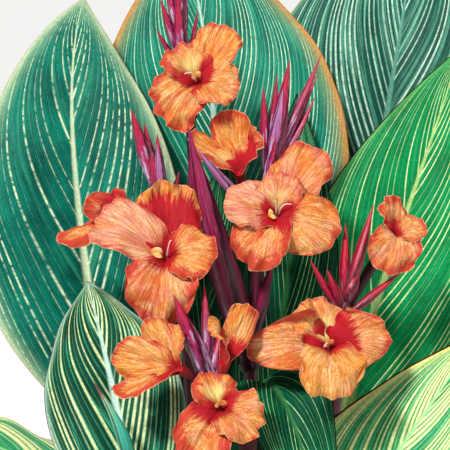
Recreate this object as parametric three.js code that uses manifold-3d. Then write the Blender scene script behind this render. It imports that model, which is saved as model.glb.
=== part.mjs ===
// Canna lily in a plain clay pot: a clump of eight stalks with striped leaves and orange blooms.
// Millimetres, +Z up, the blooms face -Y. The origin is the centre of the pot's flat underside.
import * as THREE from "three";
import { mergeVertices } from "three/addons/utils/BufferGeometryUtils.js";
import Module from "manifold-3d";

const wasm = await Module();
wasm.setup();

const vec = (p) => new THREE.Vector3(...p);
const mix = (a, b, t) => a + (b - a) * t;

// ---------------------------------------------------------------- driving dimensions

const GAP = 0.4; // clearance between pieces that touch
const SMOOTHED = 0.06; // edges that bend a surface by less than this are dropped

// A thrown clay pot with a thick rim band and three drain holes, filled with potting soil.
const POT = {
  height: 285, footRadius: 118, topRadius: 160, wall: 9, floor: 12,
  rimHeight: 42, rimStep: 9, rimLip: 4, sides: 24,
  drainRadius: 7, drainCircle: 64, drains: 3,
};
const SOIL = { level: 250, mound: 11, crumb: 1.6 };
const STALK_FOOT = 170; // height of the buried foot of every stalk

// Sheath: the lowest part of a leaf, a sleeve round the stalk.
const SHEATH = { wall: 1.6, below: 62, above: 6 };

const LEAF = { thickness: 0.9, rib: 4.2, petiole: 4.6, along: 7, across: 4 };
const PETAL = { thickness: 0.8, along: 3, across: 4, claw: 0.16, ease: 1.2 };
const STAMEN = { thickness: 0.8, along: 2, across: 2, width: 12 };
const BUD = { sides: 5, waist: 0.35 };
const OVARY = { root: 2.6, swell: 2.2, straight: 14 };
const BLOOM_TILT = -10; // degrees: a bloom's own frame faces the front, tipped up
const TUBE = { back: 32, length: 24, baseRadius: 3.2, mouthRadius: 6.2, sides: 6 };

// Stalks as quadratic curves: foot, bend and top, with the radius at the foot and at the top.
// buds and bracts: [height of the root on the stalk, tip x y z, radius].
const STALKS = {
  stalk_back: {
    curve: [[-26, 68, STALK_FOOT], [-8, 78, 760], [-46, 94, 1062]], radius: [10, 4.5],
    buds: [
      [1010, -49, 80, 1098, 8.2], [1025, -66, 88, 1092, 6], [1012, -70, 80, 1062, 4.4],
      [1050, -46, 98, 1132, 7.4], [1046, -62, 104, 1118, 5.8], [1005, -28, 92, 1082, 4],
    ],
    bracts: [[790, -36, 62, 946, 9]],
  },
  stalk_left: {
    curve: [[-48, -5, STALK_FOOT], [-8, -5, 760], [-68, 6, 915]], radius: [9.5, 4.5],
    buds: [
      [898, -92, 6, 988, 8.6], [901, -80, 16, 974, 6.6], [896, -67, 20, 962, 6],
      [890, -72, -8, 946, 9.2], [878, -45, 8, 926, 5.4],
    ],
    bracts: [[884, -66, -16, 956, 6.6]],
  },
  stalk_middle: {
    curve: [[28, 8, STALK_FOOT], [8, -25, 700], [46, 26, 928]], radius: [10, 5],
    buds: [
      [905, 38, 34, 1008, 6.2], [908, 52, 44, 1020, 6], [905, 64, 34, 1034, 9.6],
      [925, 96, 48, 1038, 5.6], [915, 93, 56, 1018, 5], [905, 91, 44, 998, 5],
      [900, 50, 12, 962, 4.4],
    ],
    bracts: [[728, -36, -10, 972, 16], [760, 48, -2, 842, 7], [872, -27, -20, 952, 6.5], [899, 57, 26, 1006, 8.2]],
  },
  stalk_right: {
    curve: [[84, -40, STALK_FOOT], [90, -46, 560], [117, -42, 808]], radius: [9.5, 5.5],
    buds: [
      [792, 82, -36, 846, 4.6], [798, 98, -42, 838, 4.8], [800, 117, -24, 880, 6],
      [808, 145, -14, 898, 6], [790, 172, -30, 834, 4.6], [806, 131, -30, 842, 7],
    ],
    bracts: [],
  },
  stalk_front: {
    curve: [[-8, -82, STALK_FOOT], [-14, -104, 480], [-12, -98, 744]], radius: [9.5, 5],
    buds: [
      [740, -48, -84, 822, 9.6], [738, -20, -66, 828, 6.6], [738, -4, -80, 790, 6.4],
      [728, -36, -82, 784, 6.4], [734, -46, -70, 800, 5.6],
    ],
    bracts: [],
  },
  shoot_left: {
    curve: [[-90, 38, STALK_FOOT], [-104, 40, 430], [-118, 44, 668]], radius: [10, 6],
    buds: [], bracts: [],
  },
  shoot_right: {
    curve: [[84, 80, STALK_FOOT], [104, 96, 480], [136, 102, 772]], radius: [10, 6],
    buds: [], bracts: [],
  },
  shoot_front: {
    curve: [[-66, -82, STALK_FOOT], [-74, -106, 440], [-88, -118, 668]], radius: [9, 6.5],
    buds: [], bracts: [],
  },
};

// Leaves: the stalk each one clasps and the height where it leaves it, two bends and the tip of
// its midrib, the way its upper face looks, its width, and the height of its edge waves.
const LEAVES = {
  leaf_left_tall: {
    on: "shoot_left", at: 630, width: 224, wave: 5, face: [0, -1, 0.2],
    bends: [[-135, 62, 790], [-184, 120, 972]], tip: [-151, 168, 1092],
  },
  leaf_back_tall: {
    on: "stalk_back", at: 730, width: 290, wave: 5, face: [0, -1, 0.3],
    bends: [[2, 126, 880], [-10, 176, 1032]], tip: [-49, 252, 1164],
  },
  leaf_right_tall: {
    on: "shoot_right", at: 742, width: 330, wave: 6, face: [-0.1, -1, 0.3],
    bends: [[152, 138, 860], [192, 190, 1030]], tip: [222, 280, 1214],
  },
  leaf_right_mid: {
    on: "shoot_right", at: 640, width: 190, wave: 4, face: [-0.1, -1, 0.1],
    bends: [[145, 64, 758], [194, 78, 885]], tip: [251, 138, 1042],
  },
  leaf_middle: {
    on: "stalk_middle", at: 622, width: 112, wave: 3, face: [0, -1, 0.2],
    bends: [[58, 54, 716], [76, 58, 860]], tip: [76, 128, 992],
  },
  leaf_right_low: {
    on: "stalk_right", at: 540, width: 154, wave: 4, face: [-0.3, -1, 0.4],
    bends: [[112, -84, 590], [166, -84, 668]], tip: [250, -40, 778],
  },
  leaf_front_arch: {
    on: "stalk_middle", at: 700, width: 100, wave: 3, face: [0.1, -0.7, 0.7],
    bends: [[38, -61, 746], [60, -116, 756]], tip: [98, -170, 586],
  },
  leaf_left_front: {
    on: "shoot_front", at: 592, width: 138, wave: 6, face: [0, -0.9, 0.5],
    bends: [[-92, -94, 690], [-122, -20, 760]], tip: [-141, 48, 806],
  },
  leaf_inner: {
    on: "stalk_left", at: 670, width: 86, wave: 3, face: [0, -1, 0.1],
    bends: [[-26, 20, 750], [-10, 30, 850]], tip: [2, 60, 934],
  },
  leaf_low_front: {
    on: "stalk_front", at: 452, width: 142, wave: 5, face: [0, 0.2, 1],
    bends: [[-30, -160, 560], [-70, -240, 600]], tip: [-118, -318, 500],
  },
  leaf_low_front_right: {
    on: "stalk_front", at: 540, width: 132, wave: 5, face: [0, 0.2, 1],
    bends: [[20, -160, 595], [60, -240, 600]], tip: [106, -312, 505],
  },
  leaf_low_right: {
    on: "stalk_right", at: 430, width: 146, wave: 5, face: [-0.2, 0, 1],
    bends: [[140, -70, 520], [220, -110, 560]], tip: [306, -160, 480],
  },
  leaf_low_back_right: {
    on: "shoot_right", at: 520, width: 156, wave: 5, face: [-0.2, 0, 1],
    bends: [[170, 120, 600], [250, 150, 660]], tip: [336, 176, 640],
  },
  leaf_low_back: {
    on: "shoot_right", at: 410, width: 150, wave: 5, face: [0, -0.2, 1],
    bends: [[120, 180, 500], [150, 260, 560]], tip: [184, 350, 520],
  },
  leaf_back_low: {
    on: "stalk_back", at: 470, width: 160, wave: 5, face: [0, -0.3, 1],
    bends: [[-30, 170, 560], [-40, 250, 640]], tip: [-50, 350, 640],
  },
  leaf_back_rear: {
    on: "stalk_back", at: 610, width: 170, wave: 5, face: [0.1, -1, 0.6],
    bends: [[0, 170, 700], [30, 240, 860]], tip: [70, 300, 1000],
  },
  leaf_low_left: {
    on: "shoot_left", at: 500, width: 156, wave: 5, face: [0.2, 0, 1],
    bends: [[-180, 60, 600], [-260, 70, 660]], tip: [-340, 80, 620],
  },
  leaf_low_back_left: {
    on: "shoot_left", at: 400, width: 148, wave: 5, face: [0, -0.2, 1],
    bends: [[-150, 130, 490], [-190, 210, 540]], tip: [-250, 290, 480],
  },
  leaf_low_front_left: {
    on: "shoot_front", at: 420, width: 142, wave: 5, face: [0.2, 0.2, 1],
    bends: [[-150, -130, 510], [-210, -180, 550]], tip: [-280, -230, 480],
  },
};
// The newest leaf is still rolled up: the stalk it tops, its bend, its tip and its radius.
const FURLED = {
  name: "leaf_furled", on: "shoot_front", radius: 7.2,
  bend: [-91, -121.6, 700], tip: [-122, -104, 742],
};

// Blooms: the stalk and height each one grows from, its throat, the way it opens, and its
// petals as [tip right, back and up of the throat, width, forward arch, roll, how far the sides of
// its end draw back as a share of the width]. In the blooms that are wide open a petal-like
// stamen stands in the throat, its tip given in the same way.
const BLOOMS = {
  bloom_top: {
    on: "stalk_back", at: 958, throat: [-27, 55, 1012], opens: [0.05, -0.95, 0.3],
    stamen: [-4, -5, 8],
    petals: [
      [28, 8, 56, 50, 6, -0.3, 0.32], [-22, 6, 36, 56, 12, 0.25, 0.36],
      [-38, -4, -38, 64, 12, 0.2, 0.24], [40, -16, -14, 60, 20, -0.3, 0.45],
    ],
  },
  bloom_left: {
    on: "stalk_left", at: 850, throat: [-56, -46, 852], opens: [0.1, -0.9, 0.42],
    stamen: [-16, -8, 4],
    petals: [
      [2, 22, 71, 70, -6, 0.2, 0.4], [48, -6, 4, 64, 14, -0.3, 0.42],
      [-13, -8, -66, 70, 18, 0.2, 0.62], [-65, 0, 38, 58, 20, 0.1, 0.15],
    ],
  },
  bloom_left_side: {
    on: "stalk_left", at: 863, throat: [-106, -8, 888], opens: [-0.75, -0.3, 0.3],
    petals: [
      [-60, 4, -27, 30, 6, -0.2, 0.9], [6, 4, 22, 36, 8, 0.4, 0.5],
      [-32, -2, 10, 32, 8, -0.1, 0.7],
    ],
  },
  bloom_middle: {
    on: "stalk_middle", at: 870, throat: [50, -20, 888], opens: [0, -0.95, 0.3],
    stamen: [-8, -6, -2],
    petals: [
      [-50, -4, 16, 54, 12, 0.3, 0.36], [4, 2, 40, 48, 14, -0.2, 0.45],
      [38, 16, 68, 56, -6, -0.3, 0.4], [56, -10, -26, 62, 14, 0.3, 0.45],
      [-30, -14, -50, 60, 18, 0.25, 0.4],
    ],
  },
  bloom_middle_side: {
    on: "stalk_middle", at: 896, throat: [12, 16, 930], opens: [-0.2, -0.6, 0.75],
    petals: [
      [-46, 2, 34, 38, 6, 0.3, 0.6], [-10, 8, 56, 44, 2, -0.2, 0.4],
      [16, 0, 40, 38, 4, -0.3, 0.5],
    ],
  },
  bloom_right: {
    on: "stalk_right", at: 770, throat: [98, -92, 774], opens: [0, -0.9, 0.42],
    stamen: [-2, -6, 6],
    petals: [
      [-78, 6, -6, 58, 12, -0.3, 1.6], [-18, 6, 44, 54, 8, 0.2, 0.4],
      [58, 6, 8, 60, 12, 0.3, 0.8], [2, -26, -46, 62, 29, -0.1, 0.5],
    ],
  },
  bloom_right_side: {
    on: "stalk_right", at: 790, throat: [166, -30, 872], opens: [0.4, -0.6, 0.6],
    petals: [
      [-14, -8, -38, 50, 10, 0.3, 0.4], [28, 4, 8, 42, 6, -0.3, 0.42],
      [-2, 8, 36, 40, 4, 0.3, 0.45],
    ],
  },
  bloom_front_left: {
    on: "stalk_front", at: 716, throat: [-48, -114, 762], opens: [-0.6, -0.6, 0.4],
    petals: [
      [-56, 4, 12, 42, 8, -0.4, 0.5], [-26, 12, 42, 28, 4, 0.3, 0.7],
      [-54, -12, -24, 36, 8, 0.3, 0.42], [-2, 10, 38, 32, 4, -0.2, 0.5],
    ],
  },
  bloom_front: {
    on: "stalk_front", at: 700, throat: [-4, -142, 730], opens: [0.1, -0.9, 0.42],
    stamen: [0, -8, 7],
    petals: [
      [-14, 8, 32, 44, 8, 0.2, 0.5], [36, -10, -20, 58, 16, -0.3, 0.42],
      [-30, -4, -52, 58, 14, 0.3, 0.4],
    ],
  },
  bloom_front_bud: {
    on: "stalk_front", at: 736, throat: [1, -114, 772], opens: [0.2, -0.4, 0.9],
    petals: [
      [20, 6, 46, 28, 4, 0.4, 0.35], [-14, -16, 20, 30, 34, -0.3, 0.4],
    ],
  },
};

// ---------------------------------------------------------------- materials

const material = (name, color, roughness) =>
  new THREE.MeshStandardMaterial({ name, color, roughness, metalness: 0 });
const CLAY = material("clay", 0xb5653f, 0.85);
const EARTH = material("earth", 0x2e211a, 0.95);
const STALK_SKIN = material("stalk_skin", 0x6e1230, 0.45);
const LEAF_SKIN = material("leaf_skin", 0x1f7a4d, 0.4);
const PETAL_SKIN = material("petal_skin", 0xf2853c, 0.55);

// ---------------------------------------------------------------- solids

// A closed geometry as a solid that can be joined and cut.
function solidOf(geometry) {
  const bare = geometry.clone().deleteAttribute("normal").deleteAttribute("uv");
  const merged = mergeVertices(bare, 1e-4);
  return new wasm.Manifold(new wasm.Mesh({
    numProp: 3,
    vertProperties: new Float32Array(merged.attributes.position.array),
    triVerts: new Uint32Array(merged.index.array),
  }));
}

const joined = (solids) => solids.reduce((whole, solid) => whole.add(solid));
const cut = (solid, tools) => tools.reduce((left, tool) => left.subtract(tool), solid);
const largest = (solid) => solid.decompose().reduce((a, b) => (a.volume() > b.volume() ? a : b));

function meshOf(name, solid, skin) {
  const { vertProperties, triVerts } = solid.simplify(SMOOTHED).getMesh();
  const geometry = new THREE.BufferGeometry();
  geometry.setAttribute("position", new THREE.BufferAttribute(vertProperties, 3));
  geometry.setIndex(new THREE.BufferAttribute(triVerts, 1));
  geometry.computeVertexNormals();
  const mesh = new THREE.Mesh(geometry, skin);
  mesh.name = name;
  return mesh;
}

// Turned round +Z from a profile of [radius, height] that ends on the axis at both ends.
function turned(profile, sides) {
  const points = profile.map(([r, z]) => new THREE.Vector2(r, z));
  return new THREE.LatheGeometry(points, sides).rotateX(Math.PI / 2);
}

// Turned along the line from root to tip, with a profile of [radius, share of the length].
function spindle(root, tip, profile, sides) {
  const length = root.distanceTo(tip);
  const geometry = turned(profile.map(([r, share]) => [r, share * length]), sides);
  const up = new THREE.Vector3(0, 0, 1);
  const turn = new THREE.Quaternion().setFromUnitVectors(up, tip.clone().sub(root).normalize());
  return solidOf(geometry.applyQuaternion(turn).translate(...root));
}

// A round bar along a curve between two parameters, its radius given at each of them.
function bar(curve, radiusAt, [from, to], sides, steps) {
  const geometry = new THREE.CylinderGeometry(1, 1, 1, sides, steps);
  const place = geometry.attributes.position;
  for (let k = 0; k < place.count; k++) {
    const t = mix(from, to, 0.5 + place.getY(k));
    const ahead = curve.getTangent(THREE.MathUtils.clamp(t, 0, 1));
    const right = new THREE.Vector3(1, 0, 0).addScaledVector(ahead, -ahead.x).normalize();
    const back = new THREE.Vector3().crossVectors(ahead, right);
    const point = curve.getPoint(t)
      .addScaledVector(right, radiusAt(t) * place.getX(k))
      .addScaledVector(back, -radiusAt(t) * place.getZ(k));
    place.setXYZ(k, point.x, point.y, point.z);
  }
  return solidOf(geometry);
}

// A thin closed blade round a midrib. lift is the angle at which each half leaves the midrib and
// curl the angle it turns back by before its edge, both at the root and at the tip. recede is how
// far a point draws back towards the root. With ease > 1 the rows crowd towards the tip.
function blade(b, along, across) {
  const place = [];
  const faces = [];
  const row = across + 1;
  const count = (along + 1) * row;
  for (const skin of [1, -1]) {
    for (let i = 0; i <= along; i++) {
      const u = 1 - (1 - i / along) ** b.ease;
      const ahead = b.spine.getTangent(u);
      const side = b.side.clone().addScaledVector(ahead, -b.side.dot(ahead)).normalize();
      side.applyAxisAngle(ahead, b.roll * u);
      const up = new THREE.Vector3().crossVectors(side, ahead);
      const half = b.halfWidth(u);
      const lift = mix(b.lift[0], b.lift[1], u);
      const curl = mix(b.curl[0], b.curl[1], u);
      for (let j = 0; j <= across; j++) {
        const v = (2 * j) / across - 1;
        const reach = Math.abs(v);
        const angle = lift - curl * reach;
        const out = (half * (Math.sin(lift) - Math.sin(angle))) / curl;
        const wave = b.wave * reach * reach * Math.sin(Math.PI * u)
          * Math.sin(2 * Math.PI * (b.waves * u + 0.3 * Math.sign(v)));
        const rise = (half * (Math.cos(angle) - Math.cos(lift))) / curl + wave;
        const rib = skin < 0 && j === across / 2 ? b.rib * (1 - u) : 0;
        const thick = skin * (b.thickness / 2 + rib);
        const point = b.spine.getPoint(u)
          .addScaledVector(ahead, -b.recede(u, v))
          .addScaledVector(side, Math.sign(v) * (out - thick * Math.sin(angle)))
          .addScaledVector(up, rise + thick * (v ? Math.cos(angle) : 1));
        place.push(point.x, point.y, point.z);
      }
    }
  }
  for (let i = 0; i < along; i++) {
    for (let j = 0; j < across; j++) {
      const a = i * row + j;
      const [right, far, ahead] = [a + 1, a + row + 1, a + row];
      faces.push(a, right, far, a, far, ahead);
      faces.push(count + a, count + far, count + right, count + a, count + ahead, count + far);
    }
  }
  const rim = [];
  for (let j = 0; j < across; j++) rim.push(j);
  for (let i = 0; i < along; i++) rim.push(i * row + across);
  for (let j = across; j > 0; j--) rim.push(along * row + j);
  for (let i = along; i > 0; i--) rim.push(i * row);
  rim.forEach((a, k) => {
    const next = rim[(k + 1) % rim.length];
    faces.push(next, a, count + a, next, count + a, count + next);
  });
  const geometry = new THREE.BufferGeometry();
  geometry.setAttribute("position", new THREE.BufferAttribute(new Float32Array(place), 3));
  geometry.setIndex(faces);
  return solidOf(geometry);
}

// ---------------------------------------------------------------- pot and soil

const innerRadiusAt = (z) => mix(POT.footRadius, POT.topRadius, z / POT.height) - POT.wall;

function pot() {
  const outerAt = (z) => mix(POT.footRadius, POT.topRadius, z / POT.height);
  const rimFoot = POT.height - POT.rimHeight;
  const body = solidOf(turned([
    [0, 0], [POT.footRadius, 0], [outerAt(rimFoot), rimFoot],
    [outerAt(rimFoot) + POT.rimStep, rimFoot + POT.rimLip],
    [outerAt(POT.height) + POT.rimStep, POT.height],
    [innerRadiusAt(POT.height), POT.height], [innerRadiusAt(POT.floor), POT.floor], [0, POT.floor],
  ], POT.sides));
  const drains = [];
  for (let k = 0; k < POT.drains; k++) {
    const angle = (2 * Math.PI * k) / POT.drains;
    const hole = new THREE.CylinderGeometry(POT.drainRadius, POT.drainRadius, 3 * POT.floor, 10)
      .rotateX(Math.PI / 2)
      .translate(POT.drainCircle * Math.cos(angle), POT.drainCircle * Math.sin(angle), 0);
    drains.push(solidOf(hole));
  }
  return meshOf("pot", cut(body, drains), CLAY);
}

function soil(holes) {
  const edge = innerRadiusAt(SOIL.level) - GAP;
  const geometry = turned([
    [0, POT.floor + GAP], [innerRadiusAt(POT.floor) - GAP, POT.floor + GAP], [edge, SOIL.level],
    [edge * 0.78, SOIL.level + SOIL.mound * 0.55], [edge * 0.5, SOIL.level + SOIL.mound * 0.85],
    [0, SOIL.level + SOIL.mound],
  ], POT.sides);
  const place = geometry.attributes.position;
  for (let k = 0; k < place.count; k++) {
    const [x, y, z] = [place.getX(k), place.getY(k), place.getZ(k)];
    if (z <= SOIL.level || Math.hypot(x, y) < 1) continue;
    place.setZ(k, z + SOIL.crumb * (Math.sin(x * 0.31 + y * 0.17) + Math.sin(y * 0.43 - x * 0.11)));
  }
  return meshOf("soil", cut(solidOf(geometry), holes), EARTH);
}

// ---------------------------------------------------------------- stalks

const curveOf = (stalk) => new THREE.QuadraticBezierCurve3(...stalk.curve.map(vec));
const radiusOf = (stalk) => (t) => mix(...stalk.radius, t);
const STALK = { sides: 8, steps: 7 };

// The parameter at which a stalk's curve passes a height.
function paramAt(stalk, height) {
  const [foot, bend, top] = stalk.curve.map((p) => p[2]);
  const a = foot - 2 * bend + top;
  const b = 2 * (bend - foot);
  const c = foot - height;
  return (-2 * c) / (b + Math.sqrt(b * b - 4 * a * c));
}

// The stalk's own bar, or with room > 0 the space that its neighbours leave for it.
function stalkBar(stalk, room = 0) {
  const radiusAt = (t) => radiusOf(stalk)(t) + room;
  const over = room / (stalk.curve[2][2] - STALK_FOOT);
  return bar(curveOf(stalk), radiusAt, [-over, 1 + over], STALK.sides, STALK.steps);
}

const budShape = (r) => [[0, 0], [r * 0.7, 0.06], [r, BUD.waist], [0, 1]];

// The ovary under a bloom bends from the stalk into the line of the bloom's tube.
function ovary(spec, bloom) {
  const root = curveOf(spec).getPoint(paramAt(spec, bloom.at));
  const end = bloomBase(bloom);
  const turn = end.clone().addScaledVector(opening(bloom), -OVARY.straight);
  const curve = new THREE.CubicBezierCurve3(root, root.clone().lerp(turn, 0.5), turn, end);
  const radiusAt = (t) => mix(OVARY.root, TUBE.baseRadius, t) + OVARY.swell * Math.sin(Math.PI * t ** 1.5);
  return bar(curve, radiusAt, [0, 1], BUD.sides, 4);
}

function stalk(name) {
  const spec = STALKS[name];
  const pieces = [stalkBar(spec)];
  for (const [height, x, y, z, radius] of [...spec.buds, ...spec.bracts]) {
    const root = curveOf(spec).getPoint(paramAt(spec, height));
    pieces.push(spindle(root, vec([x, y, z]), budShape(radius), BUD.sides));
  }
  for (const bloom of Object.values(BLOOMS).filter((b) => b.on === name)) {
    pieces.push(ovary(spec, bloom));
  }
  return meshOf(name, largest(joined(pieces)), STALK_SKIN);
}

// ---------------------------------------------------------------- leaves

// Oval, widest at 0.42 of its length, and pointed at the tip.
function leafOutline(u) {
  const widest = 0.42;
  if (u < widest) return Math.sin((Math.PI / 2) * (u / widest)) ** 0.9;
  return 1 - ((u - widest) / (1 - widest)) ** 1.95;
}

function leaf(name) {
  const spec = LEAVES[name];
  const host = STALKS[spec.on];
  const [t0, t1] = [spec.at - SHEATH.below, spec.at + SHEATH.above].map((z) => paramAt(host, z));
  const hostRadius = radiusOf(host);
  const start = curveOf(host).getPoint(paramAt(host, spec.at));
  const tip = vec(spec.tip);
  const out = vec(spec.bends[0]).sub(start).setZ(0).normalize();
  start.addScaledVector(out, hostRadius(t1) + 1);
  const bends = spec.bends.map(vec);
  const side = tip.clone().sub(start).cross(vec(spec.face)).normalize();
  const body = blade({
    spine: new THREE.CubicBezierCurve3(start, ...bends, tip), side, roll: 0, recede: () => 0,
    halfWidth: (u) => Math.max((spec.width / 2) * leafOutline(u), LEAF.petiole * (1 - u) ** 2, 1),
    lift: [0.7, 0.1], curl: [0.75, 0.35], wave: spec.wave, waves: 3,
    rib: LEAF.rib, thickness: LEAF.thickness, ease: 1,
  }, LEAF.along, LEAF.across);
  const sleeve = bar(curveOf(host), (t) => hostRadius(t) + GAP + SHEATH.wall, [t0, t1], STALK.sides, 1);
  return meshOf(name, largest(joined([sleeve, body]).subtract(stalkBar(host, GAP))), LEAF_SKIN);
}

function furledLeaf() {
  const host = curveOf(STALKS[FURLED.on]);
  const root = host.getPoint(1).addScaledVector(host.getTangent(1), GAP);
  const curve = new THREE.QuadraticBezierCurve3(root, vec(FURLED.bend), vec(FURLED.tip));
  const radiusAt = (t) => FURLED.radius * Math.min(1, 1.5 * (1 - t) + 0.08);
  return meshOf(FURLED.name, bar(curve, radiusAt, [0, 1], BUD.sides, 5), LEAF_SKIN);
}

// ---------------------------------------------------------------- blooms

const tilt = (v) => v.applyAxisAngle(new THREE.Vector3(1, 0, 0), THREE.MathUtils.degToRad(BLOOM_TILT));
const opening = (bloom) => tilt(vec(bloom.opens).normalize());
const bloomBase = (bloom) => vec(bloom.throat).addScaledVector(opening(bloom), -TUBE.back);

// Narrow claw that fans out into a broad limb.
function petalOutline(u) {
  return PETAL.claw + (1 - PETAL.claw) * Math.sin((Math.PI / 2) * Math.min(u / 0.75, 1)) ** 1.1;
}

// A line from inside the tube to a tip given from the throat, bent outward past the throat.
function petalSpine(bloom, [x, y, z], arch) {
  const opens = opening(bloom);
  const reach = tilt(vec([x, y, z]));
  const forward = reach.dot(opens);
  const outward = reach.addScaledVector(opens, -forward);
  const spread = outward.length();
  outward.normalize();
  const at = (out, ahead) =>
    vec(bloom.throat).addScaledVector(outward, out).addScaledVector(opens, ahead);
  const spine = new THREE.CubicBezierCurve3(
    at(1.5, -13), at(3.5, 3), at(spread * 0.55, arch), at(spread, forward));
  return { spine, side: outward.cross(opens) };
}

function petal(bloom, [x, y, z, width, arch, roll, rounding]) {
  return blade({
    ...petalSpine(bloom, [x, y, z], arch), roll,
    halfWidth: (u) => (width / 2) * petalOutline(u),
    recede: (u, v) => rounding * width * (1 - Math.sqrt(1 - 0.98 * v * v)) * u * u,
    lift: [0.9, 0.15], curl: [0.5, 0.55], wave: width * 0.05, waves: 2.2,
    rib: 0, thickness: PETAL.thickness, ease: PETAL.ease,
  }, PETAL.along, PETAL.across);
}

// The petal-like stamen stands in the throat.
function stamen(bloom) {
  return blade({
    ...petalSpine(bloom, bloom.stamen, 6), roll: 0, recede: () => 0,
    halfWidth: (u) => (STAMEN.width / 2) * Math.max(Math.sin(Math.PI * u ** 1.6), 0.25),
    lift: [0.9, 0.5], curl: [0.5, 0.9], wave: 0, waves: 1,
    rib: 0, thickness: STAMEN.thickness, ease: 1,
  }, STAMEN.along, STAMEN.across);
}

function bloom(name) {
  const spec = BLOOMS[name];
  const base = bloomBase(spec).addScaledVector(opening(spec), GAP);
  const mouth = base.clone().addScaledVector(opening(spec), TUBE.length);
  const shape = [[0, 0], [TUBE.baseRadius, 0], [TUBE.mouthRadius, 1], [0, 1]];
  const pieces = [spindle(base, mouth, shape, TUBE.sides), ...spec.petals.map((p) => petal(spec, p))];
  if (spec.stamen) pieces.push(stamen(spec));
  return meshOf(name, largest(joined(pieces)), PETAL_SKIN);
}

// ---------------------------------------------------------------- the plant

const canna = new THREE.Group();
canna.name = "canna_lily_plant";
canna.add(pot());
canna.add(soil(Object.values(STALKS).map((spec) => stalkBar(spec, GAP))));
for (const name of Object.keys(STALKS)) canna.add(stalk(name));
for (const name of Object.keys(LEAVES)) canna.add(leaf(name));
canna.add(furledLeaf());
for (const name of Object.keys(BLOOMS)) canna.add(bloom(name));

export default canna;
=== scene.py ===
import math

import bpy
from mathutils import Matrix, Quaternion, Vector, noise


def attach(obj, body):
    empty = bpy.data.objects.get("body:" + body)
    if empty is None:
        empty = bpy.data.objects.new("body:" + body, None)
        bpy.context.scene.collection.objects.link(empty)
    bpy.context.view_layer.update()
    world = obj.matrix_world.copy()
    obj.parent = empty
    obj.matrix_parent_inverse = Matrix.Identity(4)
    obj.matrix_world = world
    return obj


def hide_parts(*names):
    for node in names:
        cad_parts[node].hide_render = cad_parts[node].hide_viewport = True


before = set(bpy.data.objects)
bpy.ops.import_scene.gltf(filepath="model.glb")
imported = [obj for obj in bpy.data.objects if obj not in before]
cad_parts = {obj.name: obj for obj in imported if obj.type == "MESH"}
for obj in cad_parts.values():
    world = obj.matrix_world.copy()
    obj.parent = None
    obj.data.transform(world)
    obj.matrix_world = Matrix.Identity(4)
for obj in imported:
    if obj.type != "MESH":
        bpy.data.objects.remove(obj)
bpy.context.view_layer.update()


# ================================================================ camera, floor and light
# The camera looks slightly down on the blooms through a long lens. The floor is a wide pale
# disc of matt card, lit by a broad soft key from the upper left, two panels and a pale room.
MM = 0.001
AIM = Vector((0, 20, 870)) * MM
CAMERA_BACK = 1500 * MM
CAMERA_RISE = math.radians(10)
LENS, SENSOR = 120, 36
CLIP = (0.05, 400)
FLOOR_RADIUS, FLOOR_SIDES = 160, 48     # the radius is in metres


def look(holder, place, at):
    holder.location = place
    holder.rotation_euler = (at - place).to_track_quat("-Z", "Y").to_euler()
    bpy.context.scene.collection.objects.link(holder)


camera = bpy.data.objects.new("camera", bpy.data.cameras.new("camera"))
camera.data.lens, camera.data.sensor_width = LENS, SENSOR
camera.data.clip_start, camera.data.clip_end = CLIP
look(camera, AIM + CAMERA_BACK * Vector((0, -math.cos(CAMERA_RISE), math.sin(CAMERA_RISE))), AIM)
bpy.context.scene.camera = camera
# Plain colours: what a finish's hex value says is what even light shows.
bpy.context.scene.view_settings.view_transform = "Standard"

LIGHTS_AIM = Vector((0, 0, 0.75))
KEY_FROM, KEY_STRENGTH, KEY_SPREAD = Vector((-1.3, -1.7, 2.2)), 3.7, math.radians(9)
key = bpy.data.lights.new("key", "SUN")
key.energy = KEY_STRENGTH
key.angle = KEY_SPREAD
look(bpy.data.objects.new("key", key), KEY_FROM + LIGHTS_AIM, LIGHTS_AIM)
# name: place in metres, side of the square panel in metres, watts
PANELS = {
    "fill_panel": ((2.3, -1.7, 1.5), 1.6, 14),
    "back_panel": ((0.7, 2.3, 2.5), 1.4, 30),
}
for name, (place, side, watts) in PANELS.items():
    panel = bpy.data.lights.new(name, "AREA")
    panel.size = side
    panel.energy = watts
    look(bpy.data.objects.new(name, panel), Vector(place), LIGHTS_AIM)


def linear(code):
    """An sRGB hex value as a linear colour."""
    parts = [int(code[i:i + 2], 16) / 255 for i in (1, 3, 5)]
    return (*[c / 12.92 if c <= 0.04045 else ((c + 0.055) / 1.055) ** 2.4 for c in parts], 1)


room = bpy.data.worlds.new("pale_room")
room.use_nodes = True
room.node_tree.nodes["Background"].inputs["Color"].default_value = linear("#f1f3f4")
room.node_tree.nodes["Background"].inputs["Strength"].default_value = 0.33
bpy.context.scene.world = room


def feed(tree, node, inputs):
    """Set a node's inputs: to a number, to a colour's hex value, or linked to a node or socket."""
    for key, value in inputs.items():
        if isinstance(value, bpy.types.Node):
            value = next(out for out in value.outputs if out.enabled)
        if isinstance(value, bpy.types.NodeSocket):
            tree.links.new(value, node.inputs[key])
        else:
            node.inputs[key].default_value = linear(value) if isinstance(value, str) else value


def add(tree, kind, inputs=None, stops=(), **settings):
    """A new node with its settings, its inputs and, on a ramp, its (place, hex colour) stops.

    An input goes by its name, or by its number where names repeat: a Mix has its share at 0 and
    its colours at 6 and 7, and a Map Range its value at 0, from at 1 and 2, and to at 3 and 4.
    """
    node = tree.nodes.new(kind)
    for key, value in settings.items():
        setattr(node, key, value)
    for k, (place, code) in enumerate(stops):
        # a new ramp already has two stops
        stop = node.color_ramp.elements[k] if k < 2 else node.color_ramp.elements.new(place)
        stop.position, stop.color = place, linear(code)
    feed(tree, node, inputs or {})
    return node


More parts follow.
